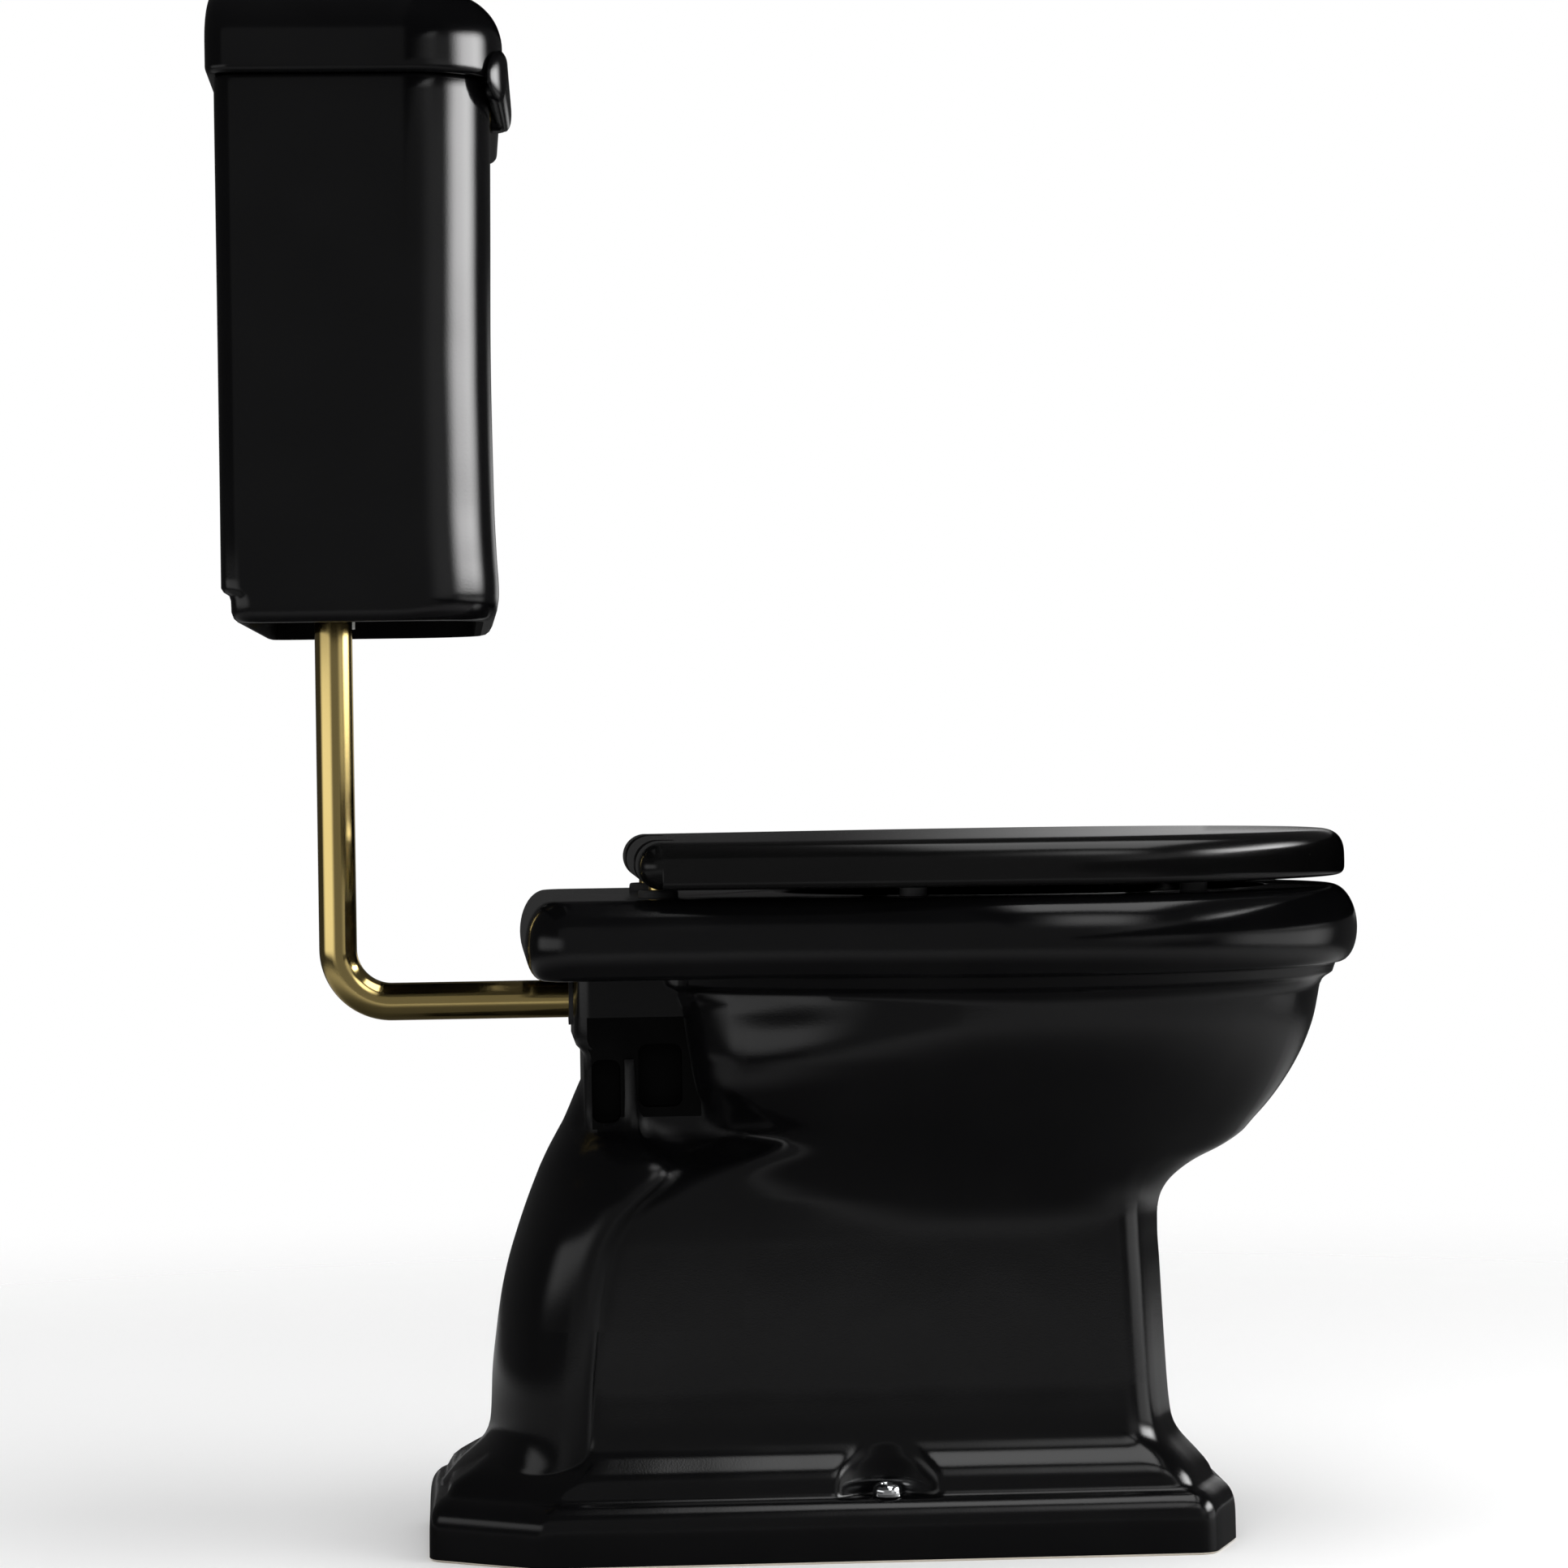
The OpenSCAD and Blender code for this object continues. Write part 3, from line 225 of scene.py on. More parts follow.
def unevenness():
    """Slow waves, fine grain and scattered specks, read from the piece's own coordinates."""
    group = bpy.data.node_groups.new("fired unevenness", "ShaderNodeTree")
    for name, value in (("Wave size", 0.05), ("Grain size", 0.001), ("Speck size", 0.004),
                        ("Specks", 0.1)):
        socket = group.interface.new_socket(name=name, in_out="INPUT", socket_type="NodeSocketFloat")
        socket.default_value = value
    for name in ("Wave", "Grain", "Speck"):
        group.interface.new_socket(name=name, in_out="OUTPUT", socket_type="NodeSocketFloat")
    link = group.links.new
    given = group.nodes.new("NodeGroupInput")
    out = group.nodes.new("NodeGroupOutput")
    place = group.nodes.new("ShaderNodeTexCoord")
    for name, detail in (("Wave", 1.0), ("Grain", 3.0)):
        per = group.nodes.new("ShaderNodeMath")
        per.operation = "DIVIDE"
        per.inputs[0].default_value = 1.0
        link(given.outputs[name + " size"], per.inputs[1])
        noise = group.nodes.new("ShaderNodeTexNoise")
        noise.inputs["Detail"].default_value = detail
        link(place.outputs["Object"], noise.inputs["Vector"])
        link(per.outputs[0], noise.inputs["Scale"])
        link(noise.outputs["Fac"], out.inputs[name])
    per = group.nodes.new("ShaderNodeMath")
    per.operation = "DIVIDE"
    per.inputs[0].default_value = 1.0
    link(given.outputs["Speck size"], per.inputs[1])
    cells = group.nodes.new("ShaderNodeTexVoronoi")
    link(place.outputs["Object"], cells.inputs["Vector"])
    link(per.outputs[0], cells.inputs["Scale"])
    near = group.nodes.new("ShaderNodeMath")
    near.operation = "LESS_THAN"
    link(cells.outputs["Distance"], near.inputs[0])
    link(given.outputs["Specks"], near.inputs[1])
    link(near.outputs[0], out.inputs["Speck"])
    return group


UNEVEN = unevenness()
speck_dullness, grain_relief = 0.12, 0.06


def finish(name, colours, roughness, metallic=0.0, waves=0.05, grain=0.001, specks=(0.004, 0.05),
           bump=0.00002, shine=0.5, soft_edges=0.0):
    """Material whose colour runs between two shades and whose gloss and surface waver."""
    made = bpy.data.materials.new(name)
    made.use_nodes = True
    tree = made.node_tree
    link = tree.links.new
    shader = tree.nodes["Principled BSDF"]
    shader.inputs["Metallic"].default_value = metallic
    shader.inputs["IOR"].default_value = 1.5
    shader.inputs["Specular IOR Level"].default_value = shine
    uneven = tree.nodes.new("ShaderNodeGroup")
    uneven.node_tree = UNEVEN
    for socket, value in (("Wave size", waves), ("Grain size", grain), ("Speck size", specks[0]),
                          ("Specks", specks[1])):
        uneven.inputs[socket].default_value = value
    shade = tree.nodes.new("ShaderNodeMix")
    shade.data_type = "RGBA"
    shade.inputs["A"].default_value = (*colours[0], 1)
    shade.inputs["B"].default_value = (*colours[1], 1)
    link(uneven.outputs["Wave"], shade.inputs["Factor"])
    link(shade.outputs["Result"], shader.inputs["Base Color"])
    gloss = tree.nodes.new("ShaderNodeMapRange")
    gloss.inputs["To Min"].default_value = roughness[0]
    gloss.inputs["To Max"].default_value = roughness[1]
    link(uneven.outputs["Grain"], gloss.inputs["Value"])
    dull = tree.nodes.new("ShaderNodeMath")
    dull.operation = "MULTIPLY_ADD"
    dull.inputs[1].default_value = speck_dullness
    link(uneven.outputs["Speck"], dull.inputs[0])
    link(gloss.outputs["Result"], dull.inputs[2])
    link(dull.outputs[0], shader.inputs["Roughness"])
    swell = tree.nodes.new("ShaderNodeMath")
    swell.operation = "MULTIPLY_ADD"
    swell.inputs[1].default_value = grain_relief
    link(uneven.outputs["Grain"], swell.inputs[0])
    link(uneven.outputs["Wave"], swell.inputs[2])
    relief = tree.nodes.new("ShaderNodeBump")
    relief.inputs["Distance"].default_value = bump
    link(swell.outputs[0], relief.inputs["Height"])
    link(relief.outputs["Normal"], shader.inputs["Normal"])
    if soft_edges:
        bevel = tree.nodes.new("ShaderNodeBevel")
        bevel.samples = 6
        bevel.inputs["Radius"].default_value = soft_edges
        link(bevel.outputs["Normal"], relief.inputs["Normal"])
    return made


black = ((0.0012, 0.0012, 0.0014), (0.0026, 0.0026, 0.0028))
glaze = finish("black glaze", black, (0.11, 0.15), waves=0.06, grain=0.0012, specks=(0.009, 0.035),
               bump=0.0004, shine=0.35, soft_edges=0.0025)
pooled = finish("black glaze, pooled", black, (0.13, 0.18), waves=0.06, grain=0.0012,
                specks=(0.009, 0.035), bump=0.0004, shine=0.35, soft_edges=0.009)
# Matt glaze with almost no shine: painted shade on the neck, and the unpolished floor of the tank.
matt_glaze_and_painted_shade = finish("matt glaze and painted shade", ((0.0012, 0.0012, 0.0012), (0.0028, 0.0028, 0.0028)), (0.5, 0.65),
              waves=0.03, grain=0.0008, bump=0.0003, shine=0.02)
clay = finish("bare fired clay", ((0.58, 0.53, 0.45), (0.68, 0.63, 0.55)), (0.75, 0.9), waves=0.03,
              grain=0.0006, specks=(0.006, 0.12), bump=0.0006)

rim_middle, rim_under = -110, 371
screw_x, hinge_x, hinge_y = 108, 77.5, 143
outlet_y, outlet_r = 198, 34
inlet_z, inlet_r = 364, 16.5

# Plinth, pedestal and bowl are one form: cut corners below, an egg above, and a hollow curve between.
# Each row is height, front, half width, back, how far the casing hides the back corners, and how far
# the egg has taken over.
foot = [
    (0, -234.5, 123.5, 298, 0, 0), (1.5, -236, 125, 300, 0, 0), (20, -235.8, 124.9, 299.8, 0, 0),
    (27, -235.2, 124.5, 299, 0, 0), (32, -233.8, 123.2, 297.6, 0, 0), (36, -231.4, 121, 295.2, 0, 0),
    (38.8, -228.6, 118.4, 292.4, 0, 0), (40.2, -226.4, 116.2, 290, 0, 0),
    (41, -224.6, 114.6, 288.4, 0, 0), (42.6, -223.2, 113.4, 287.2, 0, 0),
    (45, -222.2, 112.7, 286, 0, 0), (49, -220.4, 112.1, 283.6, 0, 0),
    (53, -217.6, 111.2, 278.4, 0, 0), (56.5, -214.6, 109.8, 272.4, 0, 0),
    (59.5, -212, 108, 268, 0.1, 0), (62.5, -209.2, 105.7, 263.4, 0.2, 0),
    (66, -206, 102.9, 258.8, 0.33, 0), (70, -202.8, 100.3, 254.6, 0.5, 0),
    (75, -199.9, 98.3, 250.6, 0.72, 0), (81, -198, 97, 247.4, 0.9, 0),
    (89, -196.9, 96.3, 245.4, 1, 0), (98, -196.1, 95.8, 244, 1, 0), (112, -195.3, 95.2, 242.6, 1, 0),
    (150, -193.4, 95, 240, 1, 0), (185, -191.8, 95, 234, 1, 0), (205, -190.8, 95, 230, 1, 0),
    (216, -191, 95.3, 224, 1, 0.02), (226, -193, 96.4, 216, 1, 0.08),
    (235, -198.6, 98.4, 207, 1, 0.22), (243, -208, 101, 196, 1, 0.4),
    (251, -221.6, 104.6, 180, 1, 0.6), (260, -242, 109.6, 152, 1, 0.82),
    (268, -254.6, 114.6, 122, 1, 0.95),
]
bowl_long, bowl_half, bowl_deep, fullness = 198, 156, 163, 1.8
for z, back in ((276, 103), (286, 113), (298, 121), (312, 125.5), (328, 129.5), (345, 134.5),
                (360, 140.5)):
    share = (1 - ((rim_under - z) / bowl_deep) ** fullness) ** (1 / fullness)
    foot.append((z, rim_middle - bowl_long * share, bowl_half * share, back, 1, 1))
foot += [(366.5, -308.4, 156.4, 145.4, 1, 1), (370, -310.2, 158, 147, 1, 1),
         (372.6, -313.4, 161, 150, 1, 1), (375, -317, 165, 154, 1, 1), (379, -318.4, 166.4, 155.4, 1, 1),
         (384, -320, 168, 157, 1, 1), (392, -320, 168, 157, 1, 1)]
plinth_top, pedestal_half, neck_under = 41, 95, 210
near = 50  # stretch on each side of the screws where the sides have close steps
near_screws = [2.5 * i - near for i in range(41)]


def foot_outline(z, front, half, back, tuck, mix):
    """Outline of one foot row: eight cut and rounded corners, drawn over to an egg by the mix."""
    cut = (55 + 14 * mix, 23 + 30 * mix)
    rear = (45 + 30 * tuck, 72 - 22 * tuck)
    corner = 14 + 11 * mix
    side_corner = 24 if z > 60 else 14 + 10 * max(0.0, z - plinth_top) / 19
    start, end = front + cut[1] + 22, min(back - rear[1] - 14, 200)
    along = [start + (-near - start) * i / 8 for i in range(8)] + near_screws
    along += [near + (max(end, near + 2) - near) * i / 9 for i in range(1, 10)]
    corners = [(cut[0] - half, front), (half - cut[0], front), (half, front + cut[1]),
               (half, back - rear[1]), (half - rear[0], back), (rear[0] - half, back),
               (-half, back - rear[1]), (-half, front + cut[1])]
    plan = round_plan(corners, [corner, corner, side_corner, 14, 16, 16, 14, side_corner],
                      [12, 3, along, 3, 3, 3, along[::-1], 3])
    ring = []
    for p in plan:
        # Towards the back the bowl draws in to the pedestal's width, and its egg turns squarer.
        drawn = max(0.0, min(1.0, (p.y + 60) / 130))
        drawn = drawn * drawn * (3 - 2 * drawn)
        narrow = 1 + drawn * (min(half, pedestal_half) / half - 1) if z > neck_under else 1
        way = Vector((p.x * narrow, p.y - rim_middle))
        length = back - rim_middle if way.y > 0 else rim_middle - front
        full = 2 + 1.2 * max(0.0, min(1.0, (rim_under - z) / 70)) if way.y > 0 else 2
        size = (abs(way.x / half) ** full + abs(way.y / length) ** full) ** (1 / full)
        ring.append(way.lerp(way / size, mix) + Vector((0, rim_middle)))
    if z >= plinth_top and half < 115:
        ring = [Vector((scooped(abs(p.x), p.y, z) * (1 if p.x > 0 else -1), p.y)) for p in ring]
    return level(ring, z)


scoop_r, scoop_x, scoop_straight, scoop_dome, blend = 34, 131, 54, 28, 15


def scooped(x, y, z):
    """Soft scoop in the plinth that makes room round each floor screw."""
    reach = scoop_r * sqrt(max(0.0, 1 - (max(0.0, z - scoop_straight) / scoop_dome) ** 2))
    if x < 80 or abs(y) >= reach:
        return x
    wall = scoop_x - sqrt(reach ** 2 - y ** 2)
    meeting = max(blend - abs(x - wall), 0.0) / blend
    return min(x, wall) - meeting ** 2 * blend / 4 if wall < scoop_x - 1 else x


bm = bmesh.new()
skin(bm, [foot_outline(*row) for row in flowing(foot)])
pan = piece("glazed_pan", bm, glaze)


def quarter(count):
    """Angles from straight ahead round to the side."""
    return [radians(-90 + 90 * i / count) for i in range(1, count + 1)]


rim_half, rim_long, shelf_half, shelf_corner, shelf_back = 182, 224, 145, 32, 232


def rim_plan(inset):
    """The rim: half an egg in front that runs in a long S into the straight shelf behind."""
    half, straight, corner = rim_half - inset, shelf_half - inset, shelf_corner - inset
    back, flat = shelf_back - inset, straight - corner
    right = [(half * cos(t), rim_middle + (rim_long - inset) * sin(t)) for t in quarter(28)]
    right += [(half + (straight - half) * (1 - cos(pi * i / 22)) / 2, rim_middle + 10 * i)
              for i in range(1, 23)]
    right += [(straight, y) for y in (130, 150, 175)]
    right += [(flat + corner * cos(t), back - corner + corner * sin(t))
              for t in (radians(90 * i / 9) for i in range(10))]
    across = [(x / 3, back) for x in (2 * flat, flat, -flat, -2 * flat)]
    front = [(0, inset - (rim_long - rim_middle))]
    return front + right + across + [(-x, y) for x, y in reversed(right)]


# The rim's side is two quarter rounds: a small one below, and a larger one up to the seat.
rim_low, rim_waist, rim_top = 382, 405, 434
rim_rows = [(12 * (1 - cos(radians(t))), rim_low + (rim_waist - rim_low) * (1 - sin(radians(t))))
            for t in range(90, 0, -10)]
rim_rows += [(18 * (1 - cos(radians(t))), rim_waist + (rim_top - rim_waist) * sin(radians(t)))
             for t in range(0, 91, 6)]
bm = bmesh.new()
skin(bm, [level(rim_plan(inset), z) for inset, z in rim_rows])
rim = piece("rim", bm)

# Casing over the trap. Each row is height, how far in from the plinth's back, half width, front edge.
casing_rows = [
    (40, 8, 99, 197), (46, 13, 99, 198), (54, 20.5, 99, 199), (62, 30, 99, 200), (70, 37.5, 99, 200),
    (80, 41.5, 99, 199.6), (92, 42.6, 99, 199), (113, 43.5, 99, 198), (140, 46.5, 99, 195.6),
    (167, 50.5, 99, 193), (190, 55.8, 99, 189), (206, 60.7, 99, 184.6), (223, 66.5, 98.6, 175),
    (234, 70.6, 98, 166), (242, 73.8, 97, 156.4), (248, 76.2, 95.8, 148), (252, 77.9, 94.6, 144),
    (256, 79.8, 92.6, 143.4), (261, 82.2, 89, 147), (266, 84.8, 83.6, 152.6), (271, 87.6, 76, 158.6),
    (275, 89.8, 68, 163.4), (278, 91.5, 60.6, 167), (281, 93.2, 54, 170), (286, 95.6, 50, 172),
    (305, 104, 47, 175), (330, 116, 41, 172),
]


plinth_back, lip_r = 300, 9


def casing_outline(z, back_in, half, edge):
    """Half an oval behind the front edge, with a small round lip at each end."""
    arc = [(half * cos(t), edge + (plinth_back - back_in - edge) * sin(t))
           for t in (pi * i / 56 for i in range(57))]
    lip = [(half - lip_r + lip_r * cos(t), edge - lip_r * sin(t))
           for t in (radians(15 * i) for i in range(1, 7))]
    return level(arc + [(-x, y) for x, y in lip] + [(x, y) for x, y in reversed(lip)], z)


bm = bmesh.new()
skin(bm, [casing_outline(*row) for row in flowing(casing_rows, 6)])
casing = piece("casing", bm)


def block(bm, rows, sides=(6, 8, 6, 8), arc=5):
    """Rounded box by rows of height, front, back, half width, front radius and back radius."""
    skin(bm, [level(round_plan([(-w, f), (w, f), (w, b), (-w, b)], [rf, rf, rb, rb], sides, arc), z)
              for z, f, b, w, rf, rb in rows])


# Block round the flush inlet, with a thin rib on each side between two blind pockets.
neck_half, neck_back = 56, 193
neck_rows = [(240, neck_back), (327, neck_back), (330.5, 193.8), (333, 195.6), (335.4, 197.8),
             (339, 199), (384, 199)]
bm = bmesh.new()
block(bm, flowing([(z, 40, back, neck_half, 10, 12) for z, back in neck_rows], 8))
neck = piece("neck", bm)


def rod(bm, start, end, radius, segments=48):
    """Round bar between two places, in metres, with its radius in millimetres."""
    made = bmesh.ops.create_cone(bm, segments=segments, radius1=radius / 1000, radius2=radius / 1000,
                                 depth=(end - start).length, cap_ends=True)["verts"]
    turn = Vector((0, 0, 1)).rotation_difference(end - start)
    bmesh.ops.rotate(bm, verts=made, cent=(0, 0, 0), matrix=turn.to_matrix())
    bmesh.ops.translate(bm, verts=made, vec=(start + end) / 2)
    return made


bm = bmesh.new()
for side in (-1, 1):
    rod(bm, at(neck_half * side, 163, 276), at(neck_half * side, 163, 326), 3.2, 20)
ribs = piece("ribs", bm)


# Inside of the bowl, from the trap's throat up to the rim's edge: height, front, back, half width.
inside_rows = flowing([
    (100, 0, 38, 22), (103, -11, 47, 30), (112, -26, 58, 39), (136, -36, 64, 44), (160, -43, 67.5, 47.5),
    (205, -72, 72, 57), (225, -108, 73, 65), (240, -148, 74, 74), (262, -208, 75, 92),
    (290, -252, 75, 114), (330, -282, 74, 133), (370, -294, 72, 142),
    (397, -294, 70, 142), (397, -294, 70, 142)], 7)
inside_rows += flowing([
    (398, -280, 54, 128), (419, -280, 54, 128), (425, -279.6, 54.4, 128.4), (430, -277.6, 56.4, 130.4),
    (433, -274.4, 59.6, 133.6), (434.3, -270.6, 63.4, 137.4), (435.6, -266, 68, 142)], 3)
bm = bmesh.new()
skin(bm, [level(egg(front, back, half, (front + back) / 2), z)
          for z, front, back, half in inside_rows])
bowl = piece("bowl", bm)


def around(r, segments):
    """Places round a circle."""
    return [(r * cos(2 * pi * i / segments), r * sin(2 * pi * i / segments)) for i in range(segments)]


def turned(bm, x, y, rows, segments=48):
    """Upright turned form by rows of height and radius."""
    skin(bm, [[at(x + a, y + b, z) for a, b in around(r, segments)] for z, r in rows])


def bored(bm, z, rows, x=0, segments=48):
    """The same along Y, by rows of y and radius."""
    skin(bm, [[at(x + a, y, z + b) for a, b in around(r, segments)] for y, r in rows])


# The foot's hollow, the flush way with its three jets, and the holes for screws and hinge studs.
foot_front, foot_back, foot_half, foot_low, foot_high = -176, 148, 80, 76, 194
hidden_step = 0.01  # height between two outlines that meet in a flat ledge
bm = bmesh.new()
block(bm, [(-2, foot_front, foot_back, foot_half, 20, 12),
           (foot_low, foot_front, foot_back, foot_half, 20, 12),
           (foot_low + hidden_step, foot_front, -76, foot_half, 20, 12),
           (foot_high, foot_front, -76, foot_half, 20, 12)])
bored(bm, inlet_z, [(92, 12.5), (154, 12.5), (154 + hidden_step, inlet_r), (204, inlet_r)])
for x in (-9, 0, 9):
    bored(bm, inlet_z, [(50, 3), (95, 3)], x, 20)
for side in (-1, 1):
    turned(bm, screw_x * side, 0, [(-2, 4), (42.5, 4)], 24)
    turned(bm, hinge_x * side, hinge_y, [(374, 18), (420, 18), (420 + hidden_step, 6.5), (436, 6.5)], 36)
hollows = piece("hollows", bm)

# Room round the spigot, the trap's way up from the sump, and the blind pockets in the neck's sides.
spigot_room, pocket_low, pocket_high = 64, 38, 58
bm = bmesh.new()
turned(bm, 0, outlet_y, [(-2, spigot_room), (60, spigot_room)], 72)
rod(bm, at(0, 0, 112), at(0, 77.8, 189.8), outlet_r, 64)
for side in (-1, 1):
    for front, back, low, high in ((169, 188, 284, 326), (128, 157, 294, 336)):
        made = round_plan([(front, low), (back, low), (back, high), (front, high)], [6] * 4, [3] * 4)
        skin(bm, [[at(x * side, p.x, p.y) for p in made] for x in (pocket_low, pocket_high)])
recesses = piece("recesses", bm)

spigot_r = 50
bm = bmesh.new()
turned(bm, 0, outlet_y, [(14, spigot_r - 1.5), (15.5, spigot_r), (62, spigot_r)], 72)
spigot = piece("spigot", bm)
bm = bmesh.new()
turned(bm, 0, outlet_y, [(-2, outlet_r), (195, outlet_r)], 64)
outlet = piece("outlet", bm)

pan_sharp = 32
cast(pan, [("UNION", casing), ("UNION", neck), ("UNION", ribs), ("UNION", rim), ("DIFFERENCE", bowl),
           ("DIFFERENCE", hollows), ("DIFFERENCE", recesses), ("UNION", spigot),
           ("DIFFERENCE", outlet)], pan_sharp)

# The valleys where bowl, casing and neck meet are rubbed smooth, as a wet casting is with a sponge.
rubs = 16
bm = bmesh.new()
bm.from_mesh(pan.data)
valley = [v for v in bm.verts if abs(v.co.x) > 0.05 and -0.06 < v.co.y < 0.135
          and 0.236 < v.co.z < (0.2835 if v.co.y > 0.07 else 0.325)]
for _ in range(rubs):
    bmesh.ops.smooth_vert(bm, verts=valley, factor=0.5, use_axis_x=True, use_axis_y=True,
                          use_axis_z=True)
bm.to_mesh(pan.data)
bm.free()
crease(pan, pan_sharp)

# Glaze pools in the corners at the back, and is wiped off under the foot. The neck's pockets and
# its sides take the matt coat, which kills their reflection as painted shade under the shelf.
coat(pan, pooled, lambda x, y, z, n: y > 88 and 150 < z < 352)
coat(pan, matt_glaze_and_painted_shade, lambda x, y, z, n: 262 < z < 352 and (
    37.5 < x < 55.9 and (127.9 < y < 157.1 or 168.9 < y < 188.1) and 283 < z < 336.5
    or 55.5 < x < 56.2 and 118 < y < 196 and abs(n.x) > 0.6))
slack = 0.2
coat(pan, clay, lambda x, y, z, n: z < 1.2 or z < foot_high + 0.5 and x < foot_half + slack
     and foot_front - slack < y < foot_back + slack
     or z < 60.5 and hypot(x, y - outlet_y) < spigot_room + 0.5)
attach(pan, "toilet")
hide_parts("pan")


# ---- Flush cone and floor fixings ------------------------------------------------------------
# A moulded rubber cone seals the pipe in the pan's inlet. Two screws go down through the plinth, each
# over a nylon washer, under a polished chrome cap with a dished middle that snaps over the washer.
rubber = finish("moulded rubber", ((0.018, 0.018, 0.019), (0.03, 0.03, 0.031)), (0.55, 0.7), waves=0.01,
                grain=0.0005, bump=0.00015)
chrome = finish("polished chrome", ((0.78, 0.79, 0.81), (0.84, 0.85, 0.86)), (0.04, 0.09), metallic=1.0,
                waves=0.02, grain=0.0006, specks=(0.004, 0.03), bump=0.00004)
nylon = finish("moulded nylon", ((0.74, 0.74, 0.7), (0.82, 0.82, 0.78)), (0.4, 0.5), waves=0.02,
               grain=0.0006, bump=0.0001)


def refinish(material, *names):
    """Gives the part's own solids a finish."""
    for name in names:
        nodes[name].data.materials.clear()
        nodes[name].data.materials.append(material)
        for face in nodes[name].data.polygons:
            face.material_index = 0


refinish(rubber, "flush_cone")
refinish(chrome, "floor_screws")
refinish(nylon, "screw_washers")
cap_rows = [(41, 9.4), (41.4, 9.9), (43, 10), (45, 9.8), (47, 9.1), (48.4, 8), (49.1, 6.9),
            (49.2, 6.2), (48.7, 5.6), (47.8, 5.1), (47.5, 4.2), (47.5, 2), (47.6, 0.3)]
bm = bmesh.new()
for side in (-1, 1):
    turned(bm, screw_x * side, 0, flowing(cap_rows, 0.4), 72)
caps = piece("domed_caps", bm, chrome)
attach(caps, "toilet")
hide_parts("screw_caps")


# ---- Seat hinges -----------------------------------------------------------------------------
# Two plated brass pillars stand on rubber gaskets on the shelf. A stud goes down from each to a washer
# and a nut under the shelf, and a steel pin through its head carries the ring and the lid.
gold = finish("pale gold plate", ((0.74, 0.56, 0.21), (0.79, 0.61, 0.245)), (0.07, 0.16), metallic=1.0,
              waves=0.05, grain=0.0008, specks=(0.006, 0.02), bump=0.00006)
refinish(gold, "hinge_pillars")
cup_rows = [(434.1, 11), (434.1, 13.4), (434.1, 13.4), (436.5, 13.3), (438.2, 12.9), (438.9, 12.1)]
bm = bmesh.new()
for side in (-1, 1):
    turned(bm, hinge_x * side, hinge_y, flowing(cup_rows, 0.6))
cups = piece("gasket_cups", bm, rubber)
bm = bmesh.new()
for side in (-1, 1):
    turned(bm, hinge_x * side, hinge_y, [(433, 6), (435.5, 6), (435.51, 12.03), (440, 12.03)])
foot_room = piece("foot_room", bm)
cast(cups, [("DIFFERENCE", foot_room)])
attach(cups, "toilet")
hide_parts("hinge_gaskets")
refinish(nylon, "hinge_washers")
refinish(chrome, "hinge_bolts", "hinge_nuts", "hinge_pins")


# ---- Seat ring -------------------------------------------------------------------------------
# Compression moulded and lacquered black, 14 mm thick, with an egg opening and rounded edges. Two
# knuckles on each hinge turn on the pins, and four rubber feet rest on the rim.
lacquer = finish("black seat lacquer", ((0.0012, 0.0012, 0.0012), (0.0024, 0.0024, 0.0024)),
                 (0.15, 0.2), waves=0.08, grain=0.0015, specks=(0.012, 0.03), bump=0.0003, shine=0.35,
                 soft_edges=0.0012)
hinge_z, pin_bore, knuckle_r = 456, 4.05, 8
seat_middle, seat_long, seat_half, seat_back_half = -112, 214, 178, 150


def seat_plan(inset, end=hinge_y):
    """Egg of the seat, drawn back to the hinge line or cut straight at the given end."""
    half, back_half = seat_half - inset, seat_back_half - inset
    right = [(half * cos(t), seat_middle + (seat_long - inset) * sin(t)) for t in quarter(30)]
    right += [(half + (back_half - half) * (1 - cos(radians(90 * i / 22))),
               seat_middle + (hinge_y - seat_middle) * i / 22) for i in range(1, 23)]
    right = [(x, min(y, end - 0.01 * (22 - i) if y > end else y)) for i, (x, y) in enumerate(right)]
    front = [(0, inset - (seat_long - seat_middle))]
    return front + right + [(-x, y) for x, y in reversed(right)]


ring_rows = [(440.5, 15), (441.2, 12.4), (443, 10.9), (445.5, 10.5), (449, 10.5), (451.6, 11.5),
             (453.6, 14), (454.5, 18.5)]
ring_back = 125.5
bm = bmesh.new()
skin(bm, [level(seat_plan(inset, ring_back), z) for z, inset in flowing(ring_rows, 1)])
ring = piece("lacquered_ring", bm, lacquer)
opening_rows = [(439.4, 5), (440.6, 3), (442.4, 0.8), (445, 0), (448.6, 0), (451.2, 1.2), (453.2, 4),
                (454.4, 8.5), (455.2, 14)]
bm = bmesh.new()
skin(bm, [level(egg(-250 - grow, 22 + grow, 108 + grow, -116), z)
          for z, grow in flowing(opening_rows, 1)])
opening = piece("opening", bm)
knuckle_x = [hinge_x * side + 11.8 * end for side in (-1, 1) for end in (-1, 1)]
bm = bmesh.new()
for x in knuckle_x:
    rod(bm, at(x - 4.5, hinge_y, hinge_z), at(x + 4.5, hinge_y, hinge_z), knuckle_r, 48)
knuckles = piece("knuckles", bm)
bm = bmesh.new()
for x in knuckle_x:
    made = bmesh.ops.create_cube(bm, size=1.0)["verts"]
    bmesh.ops.scale(bm, verts=made, vec=(0.00898, 0.0216, 0.008))
    bmesh.ops.translate(bm, verts=made, vec=at(x, 132.2, 452))
arms = piece("arms", bm)


def pin_bores(reach):
    """Cutters for the pins' holes, so far to each side of the hinges."""
    bm = bmesh.new()
    for side in (-1, 1):
        rod(bm, at(hinge_x * side - reach, hinge_y, hinge_z),
            at(hinge_x * side + reach, hinge_y, hinge_z), pin_bore, 32)
    return piece("bores", bm)


